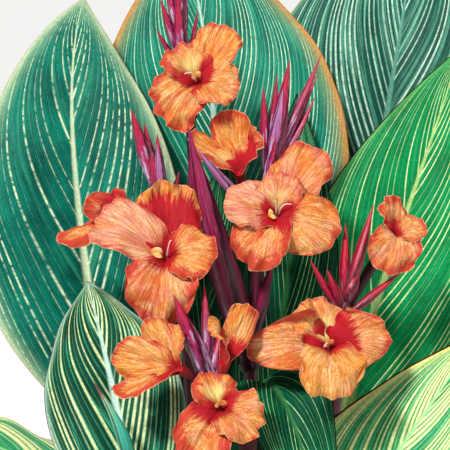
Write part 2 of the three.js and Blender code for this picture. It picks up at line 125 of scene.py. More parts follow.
def finish(name, **sockets):
    """A new material, its node tree and its shader, with the shader's constant sockets set."""
    skin = bpy.data.materials.new(name)
    skin.use_nodes = True
    shader = skin.node_tree.nodes["Principled BSDF"]
    for socket, value in sockets.items():
        shader.inputs[socket.replace("_", " ")].default_value = value
    return skin, skin.node_tree, shader


# Matt white card: no gloss, the faintest grey.
card, tree, shader = finish("matt_card", Roughness=0.95)
shader.inputs["Base Color"].default_value = linear("#e9e9e6")

floor_mesh = bpy.data.meshes.new("floor")
turns = [k / (FLOOR_SIDES / 2) * math.pi for k in range(FLOOR_SIDES)]
rim = [(FLOOR_RADIUS * math.cos(turn), FLOOR_RADIUS * math.sin(turn), 0) for turn in turns]
floor_mesh.from_pydata(rim, [], [range(FLOOR_SIDES)])
floor_mesh.materials.append(card)
floor = bpy.data.objects.new("floor", floor_mesh)
bpy.context.scene.collection.objects.link(floor)


# ================================================================ pot
# A plain machine-turned flowerpot of fired red clay: a tapering wall with a thick rim band,
# three drain holes in the foot, and faint rings left by the turning rib.
POT_HEIGHT, FOOT_RADIUS, TOP_RADIUS = 285, 118, 160
POT_WALL, POT_FLOOR = 9, 12
RIM_HEIGHT, RIM_STEP, RIM_LIP = 42, 9, 4
DRAIN_RADIUS, DRAIN_CIRCLE, DRAINS = 7, 64, 3
POT_SIDES = 144
RING_PITCH, RING_DEPTH, RING_MARGIN = 9.5, 0.22, 6
POT_PITCH = 5
DRILL_FROM, DRILL_TO, DRILL_SIDES = -5, 25, 32
ROUND = 6.28            # a full turn, near enough for rings and crumbs


def wall_radius(z):
    return FOOT_RADIUS + (TOP_RADIUS - FOOT_RADIUS) * z / POT_HEIGHT


def softened(profile, steps=4):
    """A profile of (radius, height, softness) with every corner rounded by its softness."""
    line = []
    for k, (r, z, soft) in enumerate(profile):
        corner = Vector((r, z))
        if not soft:
            line.append(corner)
            continue
        before = (Vector(profile[k - 1][:2]) - corner).normalized() * soft
        after = (Vector(profile[k + 1][:2]) - corner).normalized() * soft
        for i in range(steps + 1):
            t = i / steps
            line.append(corner + before * (1 - t) ** 2 + after * t ** 2)
    return line


def divided(line, pitch):
    """The same line with points no further apart than the pitch."""
    dense = [line[0]]
    for a, b in zip(line, line[1:]):
        count = max(1, math.ceil((b - a).length / pitch))
        dense += [a.lerp(b, (i + 1) / count) for i in range(count)]
    return dense


def spun(line, sides):
    """Points and faces of a line of (radius, height) turned round +Z, closed on the axis."""
    points, rings = [], []
    for r, z in line:
        count = 1 if r < 1e-6 else sides
        rings.append(range(len(points), len(points) + count))
        points += [(r * math.cos(2 * math.pi * i / sides), r * math.sin(2 * math.pi * i / sides), z)
                   for i in range(count)]
    faces = []
    for low, high in zip(rings, rings[1:]):
        for i in range(sides):
            j = (i + 1) % sides
            ring = [low[i % len(low)], low[j % len(low)], high[j % len(high)], high[i % len(high)]]
            ring = list(dict.fromkeys(ring))
            if len(ring) > 2:
                faces.append(ring)
    return points, faces


def made(name, shells, finishes, sharp=40):
    """One object from shells of (points, faces, marks, finish): marks are vectors by name."""
    mesh = bpy.data.meshes.new(name)
    points, faces, picks, marks = [], [], [], {}
    for shell_points, shell_faces, shell_marks, pick in shells:
        start = len(points)
        points += [Vector(p) * MM for p in shell_points]
        faces += [[start + i for i in face] for face in shell_faces]
        picks += [pick] * len(shell_faces)
        for key, values in shell_marks.items():
            marks.setdefault(key, [(0, 0, 0)] * start).extend(values)
        for values in marks.values():
            values.extend([(0, 0, 0)] * (len(points) - len(values)))
    mesh.from_pydata(points, [], faces)
    for skin in finishes:
        mesh.materials.append(skin)
    mesh.polygons.foreach_set("material_index", picks)
    mesh.polygons.foreach_set("use_smooth", [True] * len(faces))
    for key, values in marks.items():
        mark = mesh.attributes.new(key, "FLOAT_VECTOR", "POINT")
        mark.data.foreach_set("vector", [c for value in values for c in value])
    mesh.set_sharp_from_angle(angle=math.radians(sharp))
    body = bpy.data.objects.new(name, mesh)
    bpy.context.scene.collection.objects.link(body)
    return body


inner_top = wall_radius(POT_HEIGHT) - POT_WALL
inner_foot = wall_radius(POT_FLOOR) - POT_WALL
rim_foot = POT_HEIGHT - RIM_HEIGHT
pot_line = divided(softened([
    (0, 0, 0), (FOOT_RADIUS, 0, 3), (wall_radius(rim_foot), rim_foot, 1.5),
    (wall_radius(rim_foot) + RIM_STEP, rim_foot + RIM_LIP, 2.5),
    (wall_radius(POT_HEIGHT) + RIM_STEP, POT_HEIGHT, 5), (inner_top, POT_HEIGHT, 4),
    (inner_foot, POT_FLOOR, 6), (0, POT_FLOOR, 0),
]), POT_PITCH)
for k, (r, z) in enumerate(pot_line):
    if RING_MARGIN < z < POT_HEIGHT - RING_MARGIN:
        pot_line[k] = Vector((r - RING_DEPTH * (1 + math.sin(z / RING_PITCH * ROUND)), z))

# Fired red earthenware: dusty orange-brown, darker where damp soil backs the wall, with a
# chalky lime bloom in clouds over it and a fine grit that keeps it dull.
clay, tree, shader = finish("fired_red_earthenware", Roughness=0.86)
spot = add(tree, "ShaderNodeTexCoord").outputs["Object"]
clouds = add(tree, "ShaderNodeTexNoise", {"Vector": spot, "Scale": 14, "Detail": 6, "Roughness": 0.62})
body_colour = add(tree, "ShaderNodeValToRGB", {"Fac": clouds}, (
    (0.3, "#a2512f"), (0.7, "#c9764c")))
height = add(tree, "ShaderNodeSeparateXYZ", {0: spot})
damp = add(tree, "ShaderNodeMapRange", {0: height.outputs["Z"], 1: 0.02, 2: 0.2, 3: 0.35, 4: 0.0})
darker = add(tree, "ShaderNodeMix", {0: damp, 6: body_colour, 7: "#7c3c25"}, data_type="RGBA")
bloom_noise = add(tree, "ShaderNodeTexNoise", {
    "Vector": spot, "Scale": 22, "Detail": 9, "Roughness": 0.7, "Distortion": 0.6})
lime = add(tree, "ShaderNodeMapRange", {0: bloom_noise, 1: 0.55, 2: 0.76, 3: 0.0, 4: 0.42})
chalky = add(tree, "ShaderNodeMix", {0: lime, 6: darker, 7: "#dcc1ab"}, data_type="RGBA")
grit = add(tree, "ShaderNodeTexNoise", {"Vector": spot, "Scale": 900, "Detail": 3})
bump = add(tree, "ShaderNodeBump", {"Height": grit, "Strength": 0.25, "Distance": 0.0006})
feed(tree, shader, {"Base Color": chalky, "Normal": bump})

pot_points, pot_faces = spun(pot_line, POT_SIDES)
pot = made("pot_fired", [(pot_points, pot_faces, {}, 0)], [clay])
for k in range(DRAINS):
    turn = 2 * math.pi * k / DRAINS
    middle = Vector((math.cos(turn), math.sin(turn), 0)) * DRAIN_CIRCLE
    drill_points, drill_faces = spun([
        (0, DRILL_FROM), (DRAIN_RADIUS, DRILL_FROM), (DRAIN_RADIUS, DRILL_TO), (0, DRILL_TO)],
        DRILL_SIDES)
    drill = made("drill", [([Vector(p) + middle for p in drill_points], drill_faces, {}, 0)], [clay])
    drilled = pot.modifiers.new("drain", "BOOLEAN")
    drilled.operation, drilled.solver, drilled.object = "DIFFERENCE", "EXACT", drill
    whole = bpy.data.meshes.new_from_object(pot.evaluated_get(bpy.context.evaluated_depsgraph_get()))
    pot.modifiers.remove(drilled)
    pot.data = whole
    bpy.data.objects.remove(drill)
pot.data.name = "pot_fired"
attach(pot, "root")
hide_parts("pot")


# ================================================================ soil
# Damp peat potting soil, filled to 35 mm under the rim and slightly mounded round the clump,
# with loose crumbs and bits of bark lying on it. The bed is turned and then made uneven.
SOIL_LEVEL, MOUND, CRUMB_WAVE = 250, 11, 1.6
SOIL_GAP = 0.4
SOIL_RINGS, SOIL_SIDES = 46, 120
CLOD, LUMP = 9, 3.5     # how far apart the larger and smaller lumps lie
CRUMBS = (              # name, fineness, number on a square metre, radius and seed
    ("soil_crumbs_coarse", 2, 8500, 2.6 * MM, 5), ("soil_crumbs_fine", 1, 26000, 1.2 * MM, 11),
)


def mound_height(radius, edge):
    """Height of the raked surface over its level at the pot's wall."""
    share = radius / edge
    stops = [(0, 1), (0.5, 0.85), (0.78, 0.55), (1, 0)]
    for (a, high), (b, low) in zip(stops, stops[1:]):
        if share <= b:
            return MOUND * (high + (low - high) * (share - a) / (b - a))
    return 0


soil_edge = wall_radius(SOIL_LEVEL) - POT_WALL - SOIL_GAP
soil_foot = wall_radius(POT_FLOOR) - POT_WALL - SOIL_GAP
soil_line = [(0, POT_FLOOR + SOIL_GAP), (soil_foot, POT_FLOOR + SOIL_GAP), (soil_edge, SOIL_LEVEL)]
for k in range(1, SOIL_RINGS):
    r = soil_edge * (1 - k / SOIL_RINGS)
    soil_line.append((r, SOIL_LEVEL + mound_height(r, soil_edge)))
soil_line.append((0, SOIL_LEVEL + MOUND))
soil_points, soil_faces = spun(soil_line, SOIL_SIDES)
for k, (x, y, z) in enumerate(soil_points):
    if z > SOIL_LEVEL:
        rolling = math.sin(x * 0.31 + y * 0.17) + math.sin(y * 0.43 - x * 0.11)
        lumps = noise.noise((x / CLOD, y / CLOD, 0)) + 0.6 * noise.noise((x / LUMP, y / LUMP, 4))
        soil_points[k] = (x, y, z + CRUMB_WAVE * (rolling * 0.8 + lumps))

# Damp peat and bark: near black-brown fibres with paler specks, dull and rough.
peat, tree, shader = finish("damp_peat_soil", Roughness=0.93)
spot = add(tree, "ShaderNodeTexCoord").outputs["Object"]
specks = add(tree, "ShaderNodeTexNoise", {"Vector": spot, "Scale": 240, "Detail": 5, "Roughness": 0.7})
tones = add(tree, "ShaderNodeValToRGB", {"Fac": specks}, (
    (0.32, "#1c130e"), (0.56, "#3a281d"), (0.78, "#7a5a41")))
bump = add(tree, "ShaderNodeBump", {"Height": specks, "Strength": 0.6, "Distance": 0.0012})
feed(tree, shader, {"Base Color": tones, "Normal": bump})

soil = made("soil_bed", [(soil_points, soil_faces, {}, 0)], [peat])
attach(soil, "root")
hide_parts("soil")


def opened(name, surface, numbers, result):
    """A new geometry tree: a surface and named numbers go in, a result comes out."""
    tree = bpy.data.node_groups.new(name, "GeometryNodeTree")
    tree.interface.new_socket(surface, in_out="INPUT", socket_type="NodeSocketGeometry")
    for label in numbers:
        tree.interface.new_socket(label, in_out="INPUT", socket_type="NodeSocketFloat")
    tree.interface.new_socket(result, in_out="OUTPUT", socket_type="NodeSocketGeometry")
    return tree, add(tree, "NodeGroupInput").outputs


def grown(name, tree, laid, skin, under, numbers):
    """The tree, closed after its laid instances, run on a copy of an object as a plain mesh."""
    solid = add(tree, "GeometryNodeRealizeInstances", {0: laid})
    skinned = add(tree, "GeometryNodeSetMaterial", {"Geometry": solid, "Material": skin})
    add(tree, "NodeGroupOutput", {0: skinned})
    body = bpy.data.objects.new(name, under.data.copy())
    bpy.context.scene.collection.objects.link(body)
    grower = body.modifiers.new("grown", "NODES")
    grower.node_group = tree
    ids = {item.name: item.identifier for item in tree.interface.items_tree if item.in_out == "INPUT"}
    for label, value in numbers.items():
        grower[ids[label]] = float(value)
    plain = bpy.data.meshes.new_from_object(body.evaluated_get(bpy.context.evaluated_depsgraph_get()))
    body.modifiers.remove(grower)
    body.data = plain
    return body


def strewn(name, ground, grain, per_area, size, seed):
    """Crumbs of one size strewn over the ground's upper faces by a node tree, as a plain mesh."""
    numbers = {"Per square metre": per_area, "Crumb radius": size}
    tree, given = opened(name, "Ground", numbers, "Crumbs")
    facing = add(tree, "ShaderNodeSeparateXYZ", {0: add(tree, "GeometryNodeInputNormal")})
    upper = add(tree, "FunctionNodeCompare", {0: facing.outputs["Z"], 1: 0.5}, operation="GREATER_THAN")
    spots = add(tree, "GeometryNodeDistributePointsOnFaces", {
        "Mesh": given["Ground"], "Selection": upper, "Density": given["Per square metre"],
        "Seed": seed})
    lump = add(tree, "GeometryNodeMeshIcoSphere", {
        "Radius": given["Crumb radius"], "Subdivisions": grain})
    bumps = add(tree, "ShaderNodeTexNoise", {"Scale": 0.9 / size, "Detail": 1})
    push = add(tree, "ShaderNodeVectorMath", {
        0: add(tree, "GeometryNodeInputNormal"),
        "Scale": add(tree, "ShaderNodeMapRange", {0: bumps, 3: -size, 4: size})}, operation="SCALE")
    rough = add(tree, "GeometryNodeSetPosition", {"Geometry": lump, "Offset": push})
    turn = add(tree, "FunctionNodeRandomValue", {
        0: (0, 0, 0), 1: (ROUND, ROUND, ROUND), "Seed": seed + 1}, data_type="FLOAT_VECTOR")
    squeeze = add(tree, "FunctionNodeRandomValue", {
        0: (0.5, 0.5, 0.35), 1: (1.7, 1.2, 0.9), "Seed": seed + 2}, data_type="FLOAT_VECTOR")
    laid = add(tree, "GeometryNodeInstanceOnPoints", {
        "Points": spots, "Instance": rough, "Rotation": turn, "Scale": squeeze})
    return grown(name, tree, laid, peat, ground, numbers)


for name, grain, per_area, size, seed in CRUMBS:
    crumbs = strewn(name, soil, grain, per_area, size, seed)
    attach(crumbs, "root")
    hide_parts("soil")


# ================================================================ stalks, buds and bracts
# Eight unbranched stalks rise out of the soil as slender quadratic bends, burgundy and faintly
# ribbed. Five end in a loose bunch of waxy pointed buds, and three are leafy shoots. Each bud
# is a bar that tapers along a bend of its own, with its sepals wrapped round it.
STALK_FOOT = 170
# foot, bend and top of the stalk, radius at foot and top; buds, dark spathes and pale bracts as
# (height of the root on the stalk, tip x, y, z, radius)
STALKS = {
    "stalk_back": {
        "curve": [(-26, 68, STALK_FOOT), (-8, 78, 760), (-46, 94, 1062)], "radius": (10, 4.5),
        "buds": [
            (1010, -49, 80, 1098, 8.2), (1025, -66, 88, 1092, 6), (1012, -70, 80, 1062, 4.4),
            (1050, -46, 98, 1132, 7.4), (1046, -62, 104, 1118, 5.8), (1005, -28, 92, 1082, 4),
        ],
        "spathes": [(790, -36, 62, 946, 9)], "bracts": [],
    },
    "stalk_left": {
        "curve": [(-48, -5, STALK_FOOT), (-8, -5, 760), (-68, 6, 915)], "radius": (9.5, 4.5),
        "buds": [
            (898, -92, 6, 988, 8.6), (901, -80, 16, 974, 6.6), (896, -67, 20, 962, 6),
            (890, -72, -8, 946, 9.2), (878, -45, 8, 926, 5.4),
        ],
        "spathes": [], "bracts": [(884, -66, -16, 956, 6.6)],
    },
    "stalk_middle": {
        "curve": [(28, 8, STALK_FOOT), (8, -25, 700), (46, 26, 928)], "radius": (10, 5),
        "buds": [
            (905, 38, 34, 1008, 6.2), (908, 52, 44, 1020, 6), (905, 64, 34, 1034, 9.6),
            (925, 96, 48, 1038, 5.6), (915, 93, 56, 1018, 5), (905, 91, 44, 998, 5),
            (900, 50, 12, 962, 4.4),
        ],
        "spathes": [(728, -36, -10, 972, 16), (760, 48, -2, 842, 7)],
        "bracts": [(872, -27, -20, 952, 6.5), (899, 57, 26, 1006, 8.2)],
    },
    "stalk_right": {
        "curve": [(84, -40, STALK_FOOT), (90, -46, 560), (117, -42, 808)], "radius": (9.5, 5.5),
        "buds": [
            (792, 82, -36, 846, 4.6), (798, 98, -42, 838, 4.8), (800, 117, -24, 880, 6),
            (808, 145, -14, 898, 6), (790, 172, -30, 834, 4.6), (806, 131, -30, 842, 7),
        ],
        "spathes": [], "bracts": [],
    },
    "stalk_front": {
        "curve": [(-8, -82, STALK_FOOT), (-14, -104, 480), (-12, -98, 744)], "radius": (9.5, 5),
        "buds": [
            (740, -48, -84, 822, 9.6), (738, -20, -66, 828, 6.6), (738, -4, -80, 790, 6.4),
            (728, -36, -82, 784, 6.4), (734, -46, -70, 800, 5.6),
        ],
        "spathes": [], "bracts": [],
    },
    "shoot_left": {
        "curve": [(-90, 38, STALK_FOOT), (-104, 40, 430), (-118, 44, 668)], "radius": (10, 6),
        "buds": [], "spathes": [], "bracts": [],
    },
    "shoot_right": {
        "curve": [(84, 80, STALK_FOOT), (104, 96, 480), (136, 102, 772)], "radius": (10, 6),
        "buds": [], "spathes": [], "bracts": [],
    },
    "shoot_front": {
        "curve": [(-66, -82, STALK_FOOT), (-74, -106, 440), (-88, -118, 668)], "radius": (9, 6.5),
        "buds": [], "spathes": [], "bracts": [],
    },
}
STALK_SIDES, STALK_STEPS = 20, 80
BARE_BUDS = ("stalk_right",)
STALK_RIBS, STALK_RIB_HEIGHT = 7, 0.18
DOME_FROM = 0.985       # the share of a stalk's length at which its top rounds off
BUD_SIDES, BUD_STEPS, BUD_SEPALS = 30, 26, 3
BUD_FULL_AT, BUD_ROOT, BUD_POINT = 0.35, 0.7, 0.03
BUD_TAG = 3.1           # sets the patterns of a stalk's buds apart


def mix(a, b, t):
    return a + (b - a) * t


def bezier(*stops):
    """The curve through 3 or 4 stops as a function of t from 0 to 1."""
    stops = [Vector(stop) for stop in stops]

    def at(t):
        level = stops
        while len(level) > 1:
            level = [a.lerp(b, t) for a, b in zip(level, level[1:])]
        return level[0]
    return at


def ahead(curve, t, step=1e-3):
    return (curve(t + step) - curve(t - step)).normalized()


def param_at(stalk, height):
    """The parameter at which a stalk's bend passes a height."""
    foot, bend, top = [stop[2] for stop in stalk["curve"]]
    a, b, c = foot - 2 * bend + top, 2 * (bend - foot), foot - height
    return -2 * c / (b + math.sqrt(b * b - 4 * a * c))


def tube_faces(sides, steps):
    """The faces between rings of points that follow one another."""
    return [[i * sides + k, i * sides + (k + 1) % sides, (i + 1) * sides + (k + 1) % sides,
             (i + 1) * sides + k] for i in range(steps) for k in range(sides)]


def rod(curve, radius_at, sides, steps, tag=0.0):
    """A closed round bar along a curve. Its mark "grain" is (cos, sin, share of the length),
    the first two moved by the tag."""
    points, grain = [], []
    right = Vector((1, 0.13, 0))
    for i in range(steps + 1):
        share = i / steps
        forward = ahead(curve, share)
        right = (right - forward * right.dot(forward)).normalized()
        back = forward.cross(right)
        for k in range(sides):
            turn = 2 * math.pi * k / sides
            r = radius_at(share, turn)
            points.append(curve(share) + right * (r * math.cos(turn)) + back * (r * math.sin(turn)))
            grain.append((math.cos(turn) + tag, math.sin(turn) + tag, share))
    faces = tube_faces(sides, steps)
    for ring, share in ((0, 0), (steps, 1)):
        points.append(curve(share))
        grain.append((tag, tag, share))
        for k in range(sides):
            j = (k + 1) % sides
            edge = [ring * sides + k, ring * sides + j, len(points) - 1]
            faces.append(edge[::-1] if ring == 0 else edge)
    return points, faces, {"grain": grain}


def lap_at(share, turn):
    """How far across its wrapped sepal, from 0 to 1, a point of a bud lies."""
    return (BUD_SEPALS * turn / (2 * math.pi) - 0.8 * share) % 1


def bud_radius(radius):
    """The radius of a pointed bud: full low down, drawn out to the tip, its sepals wrapped."""
    def at(share, turn):
        if share < BUD_FULL_AT:
            full = mix(BUD_ROOT, 1, math.sin(math.pi / 2 * share / BUD_FULL_AT))
        else:
            full = mix(1, BUD_POINT, ((share - BUD_FULL_AT) / (1 - BUD_FULL_AT)) ** 1.35)
        return radius * full * (0.84 + 0.22 * lap_at(share, turn))
    return at


# Stalk skin: a living stem, satin and waxy, burgundy with darker strands up its length and a
# greener, duller foot.
stem_skin, tree, shader = finish("burgundy_stem_skin", Roughness=0.42)
grain = add(tree, "ShaderNodeAttribute", attribute_name="grain").outputs["Vector"]
drawn = add(tree, "ShaderNodeMapping", {"Vector": grain, "Scale": (7, 7, 5)})
strands = add(tree, "ShaderNodeTexNoise", {"Vector": drawn, "Scale": 1.0, "Detail": 5, "Roughness": 0.6})
tones = add(tree, "ShaderNodeValToRGB", {"Fac": strands}, (
    (0.3, "#2c0612"), (0.52, "#540d26"), (0.75, "#84183a")))
spot = add(tree, "ShaderNodeTexCoord").outputs["Object"]
height = add(tree, "ShaderNodeSeparateXYZ", {0: spot})
foot = add(tree, "ShaderNodeMapRange", {0: height.outputs["Z"], 1: 0.25, 2: 0.62, 3: 0.75, 4: 0.0})
greener = add(tree, "ShaderNodeMix", {0: foot, 6: tones, 7: "#4c5a35"}, data_type="RGBA")
bump = add(tree, "ShaderNodeBump", {"Height": strands, "Strength": 0.5, "Distance": 0.0006})
feed(tree, shader, {"Base Color": greener, "Normal": bump})


def mark_parts(tree, name):
    """The three parts of one of the vectors that a mesh carries at its points."""
    mark = add(tree, "ShaderNodeAttribute", attribute_name=name)
    return add(tree, "ShaderNodeSeparateXYZ", {0: mark.outputs["Vector"]}).outputs


def waxy(name, root, middle, tip, wax, bare):
    """Bud skin: a root, middle and tip colour, a powdery wax in crisp patches drawn lengthwise
    where the noise is over the share kept bare, its pale patches partly painted highlight,
    dark lengthwise lines of painted shade, and a dark line of painted shade where each
    sepal tucks in."""
    skin, tree, shader = finish(name, Specular_IOR_Level=0.4)
    grain = add(tree, "ShaderNodeAttribute", attribute_name="grain").outputs["Vector"]
    share = add(tree, "ShaderNodeSeparateXYZ", {0: grain})
    lap = mark_parts(tree, "lap")
    tones = add(tree, "ShaderNodeValToRGB", {"Fac": share.outputs["Z"]}, (
        (0.0, root), (0.35, middle), (0.8, tip)))
    drawn = add(tree, "ShaderNodeMapping", {"Vector": grain, "Scale": (1.9, 1.9, 3.2)})
    patches = add(tree, "ShaderNodeTexNoise", {
        "Vector": drawn, "Scale": 1.0, "Detail": 9, "Roughness": 0.74})
    low = add(tree, "ShaderNodeMapRange", {0: share.outputs["Z"], 1: 0.35, 2: 0.85, 3: 0.0, 4: -0.14})
    held = add(tree, "ShaderNodeMath", {0: patches, 1: low}, operation="ADD")
    patched = add(tree, "ShaderNodeMapRange", {0: held, 1: bare, 2: bare + 0.05, 3: 0.0, 4: 0.9})
    fine = add(tree, "ShaderNodeMapping", {"Vector": grain, "Scale": (14, 14, 24)})
    flecks = add(tree, "ShaderNodeTexNoise", {"Vector": fine, "Scale": 1.0, "Detail": 3})
    flecked = add(tree, "ShaderNodeMapRange", {0: flecks, 1: 0.6, 2: 0.7, 3: 0.0, 4: 0.4})
    # wax and painted highlight: the pale patches and flecks together
    wax_and_highlight = add(tree, "ShaderNodeMath", {0: patched, 1: flecked}, operation="MAXIMUM")
    waxed_and_highlit = add(tree, "ShaderNodeMix", {0: wax_and_highlight, 6: tones, 7: wax}, data_type="RGBA")
    # painted shade: dark lengthwise lines multiplied into the colour, the same noise also giving a faint
    # bump
    thin = add(tree, "ShaderNodeMapping", {"Vector": grain, "Scale": (9, 9, 2.5)})
    lines = add(tree, "ShaderNodeTexNoise", {"Vector": thin, "Scale": 1.0, "Detail": 4})
    shade = add(tree, "ShaderNodeMapRange", {0: lines, 1: 0.38, 2: 0.62, 3: 0.4, 4: 1.2})
    ribbed = add(tree, "ShaderNodeMix", {0: 1.0, 6: waxed_and_highlit, 7: shade}, data_type="RGBA",
                 blend_type="MULTIPLY")
    # painted shade: a dark line where each sepal tucks in under the next
    tuck_shade_mask = add(tree, "ShaderNodeMapRange", {0: lap["X"], 1: 0.05, 2: 0.4, 3: 0.95, 4: 0.0},
                 interpolation_type="SMOOTHSTEP")
    tuck_shaded = add(tree, "ShaderNodeMix", {0: tuck_shade_mask, 6: ribbed, 7: "#2c0418"}, data_type="RGBA")
    dulled = add(tree, "ShaderNodeMapRange", {0: wax_and_highlight, 3: 0.34, 4: 0.7})
    bump = add(tree, "ShaderNodeBump", {"Height": lines, "Strength": 0.5, "Distance": 0.0005})
    feed(tree, shader, {"Base Color": tuck_shaded, "Roughness": dulled, "Normal": bump})
    return skin


# Bud skin: crimson to magenta sepals under a lilac-white powdery wax, darkest at the root.
# The wax's pale patches are partly painted highlight.
bud_skin = waxy("waxy_crimson_bud", "#3c0626", "#9c0e58", "#c00c3e", "#d8bade", 0.51)
# Bare bud skin: redder buds that have lost most of their wax.
bare_bud_skin = waxy("bare_crimson_bud", "#4a041a", "#aa0a34", "#d00e30", "#d894b0", 0.6)
# Spathe skin: the broad dark scales on the stalks, purple-magenta with a little wax.
spathe_skin = waxy("burgundy_spathe", "#360818", "#821440", "#9c1850", "#c48cb4", 0.6)
# Bract skin: a paler, papery pink-white scale, crimson at its root.
bract_skin = waxy("papery_pink_bract", "#a4184c", "#a4468c", "#c07cb0", "#dcc0dc", 0.52)

for name, stalk in STALKS.items():
    curve = bezier(*stalk["curve"])
    foot_radius, top_radius = stalk["radius"]

    def stem_radius(share, turn):
        ribs = STALK_RIB_HEIGHT * math.cos(STALK_RIBS * turn + 3 * share)
        dome = math.sqrt(max(1 - max((share - DOME_FROM) / (1 - DOME_FROM), 0) ** 2, 0.05))
        return (mix(foot_radius, top_radius, share) + ribs) * dome

    shells = [(*rod(curve, stem_radius, STALK_SIDES, STALK_STEPS), 0)]
    for pick, group in enumerate((stalk["buds"], stalk["spathes"], stalk["bracts"]), 1):
        for k, (height, x, y, z, radius) in enumerate(group):
            root = curve(param_at(stalk, height))
            tip = Vector((x, y, z))
            bow = root.lerp(tip, 0.55) + Vector((x - root.x, y - root.y, 0)) * 0.06
            points, faces, marks = rod(
                bezier(root, bow, tip), bud_radius(radius), BUD_SIDES, BUD_STEPS, tag=BUD_TAG * k)
            marks["lap"] = [(lap_at(at / BUD_STEPS, 2 * math.pi * turn / BUD_SIDES), 0, 0)
                            for at in range(BUD_STEPS + 1) for turn in range(BUD_SIDES)]
            marks["lap"] += [(0.5, 0, 0)] * 2       # the points that close its two ends
            shells.append((points, faces, marks, pick))
    buds_in = bare_bud_skin if name in BARE_BUDS else bud_skin
    body = made(name + "_skin", shells, [stem_skin, buds_in, spathe_skin, bract_skin])
    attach(body, "root")
    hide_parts(name)


# ================================================================ leaves
# Each leaf is one thin blade on a strong midrib, its foot rolled into a sleeve that clasps the
# stalk. Veins leave the midrib low down, sweep up the blade and run together at the tip; they
# are cream on green, the edge waves a little, and a fine dark line follows it.
SHEATH_WALL, SHEATH_INNER, SHEATH_BELOW, SHEATH_ABOVE = 1.6, 0.1, 62, 6
SHEATH_SIDES, SHEATH_STEPS = 28, 22
# how far a sleeve dips on its far side as a share, its lip flares in mm, and its marks run
SHEATH_DIP, SHEATH_LIP, SHEATH_GRAIN = 0.32, 0.5, 60
CLEARANCE = 0.4
LEAF_THICKNESS, RIB_DEPTH, PETIOLE = 0.9, 4.2, 4.6
WIDEST = 0.42
LEAF_ALONG, LEAF_ACROSS = 92, 50
# heights of a blade's folds and dents, depth and half width of the groove over its midrib
FOLD_HEIGHT, DENT_HEIGHT, GROOVE_DEPTH, GROOVE_HALF = 1.1, 2.2, 0.7, 3.2
LEAST_HALF = 0.6        # half the width of a leaf's very tip
# the stalk it clasps and the height it leaves it at, two bends and the tip of its midrib, the
# way its upper face looks, width, edge wave, paint, and veins from base to tip with their sweep
LEAVES = {
    "leaf_left_tall": ("shoot_left", 630, [(-135, 62, 790), (-184, 120, 972)], (-151, 168, 1092),
                       (0, -1, 0.2), 224, 5, "teal_cream", 19, 0.7),
    "leaf_back_tall": ("stalk_back", 730, [(2, 126, 880), (-10, 176, 1032)], (-49, 252, 1164),
                       (0, -1, 0.3), 290, 5, "teal_banded", 32, 0.85),
    "leaf_right_tall": ("shoot_right", 742, [(152, 138, 860), (192, 190, 1030)], (222, 280, 1214),
                        (-0.1, -1, 0.3), 330, 6, "grey_banded", 34, 0.85),
    "leaf_right_mid": ("shoot_right", 640, [(145, 64, 758), (194, 78, 885)], (251, 138, 1042),
                       (-0.1, -1, 0.1), 190, 4, "bright_lined", 20, 0.85),
    "leaf_middle": ("stalk_middle", 622, [(58, 54, 716), (76, 58, 860)], (76, 128, 992),
                    (0, -1, 0.2), 112, 3, "shaded_lined", 15, 0.95),
    "leaf_right_low": ("stalk_right", 540, [(112, -84, 590), (166, -84, 668)], (250, -40, 778),
                       (-0.3, -1, 0.4), 154, 4, "gold_edged", 24, 0.85),
    "leaf_front_arch": ("stalk_middle", 700, [(38, -61, 746), (60, -116, 756)], (98, -170, 586),
                        (0.1, -0.7, 0.7), 100, 3, "shaded_lined", 15, 0.95),
    "leaf_left_front": ("shoot_front", 592, [(-92, -94, 690), (-122, -20, 760)], (-141, 48, 806),
                        (0, -0.9, 0.5), 138, 6, "young_striped", 15, 0.92),
    "leaf_inner": ("stalk_left", 670, [(-26, 20, 750), (-10, 30, 850)], (2, 60, 934),
                   (0, -1, 0.1), 86, 3, "shaded_lined", 14, 0.85),
    "leaf_low_front": ("stalk_front", 452, [(-30, -160, 560), (-70, -240, 600)], (-118, -318, 500),
                       (0, 0.2, 1), 142, 5, "bright_lined", 13, 0.75),
    "leaf_low_front_right": ("stalk_front", 540, [(20, -160, 595), (60, -240, 600)],
                             (106, -312, 505), (0, 0.2, 1), 132, 5, "gold_edged", 13, 0.75),
    "leaf_low_right": ("stalk_right", 430, [(140, -70, 520), (220, -110, 560)], (306, -160, 480),
                       (-0.2, 0, 1), 146, 5, "teal_cream", 12, 0.7),
    "leaf_low_back_right": ("shoot_right", 520, [(170, 120, 600), (250, 150, 660)],
                            (336, 176, 640), (-0.2, 0, 1), 156, 5, "bright_lined", 14, 0.75),
    "leaf_low_back": ("shoot_right", 410, [(120, 180, 500), (150, 260, 560)], (184, 350, 520),
                      (0, -0.2, 1), 150, 5, "teal_banded", 14, 0.75),
    "leaf_back_low": ("stalk_back", 470, [(-30, 170, 560), (-40, 250, 640)], (-50, 350, 640),
                      (0, -0.3, 1), 160, 5, "shaded_lined", 14, 0.75),
    "leaf_back_rear": ("stalk_back", 610, [(0, 170, 700), (30, 240, 860)], (70, 300, 1000),
                       (0.1, -1, 0.6), 170, 5, "bright_lined", 15, 0.8),
    "leaf_low_left": ("shoot_left", 500, [(-180, 60, 600), (-260, 70, 660)], (-340, 80, 620),
                      (0.2, 0, 1), 156, 5, "gold_edged", 14, 0.75),
    "leaf_low_back_left": ("shoot_left", 400, [(-150, 130, 490), (-190, 210, 540)],
                           (-250, 290, 480), (0, -0.2, 1), 148, 5, "teal_cream", 12, 0.7),
    "leaf_low_front_left": ("shoot_front", 420, [(-150, -130, 510), (-210, -180, 550)],
                            (-280, -230, 480), (0.2, 0.2, 1), 142, 5, "teal_banded", 14, 0.75),
}


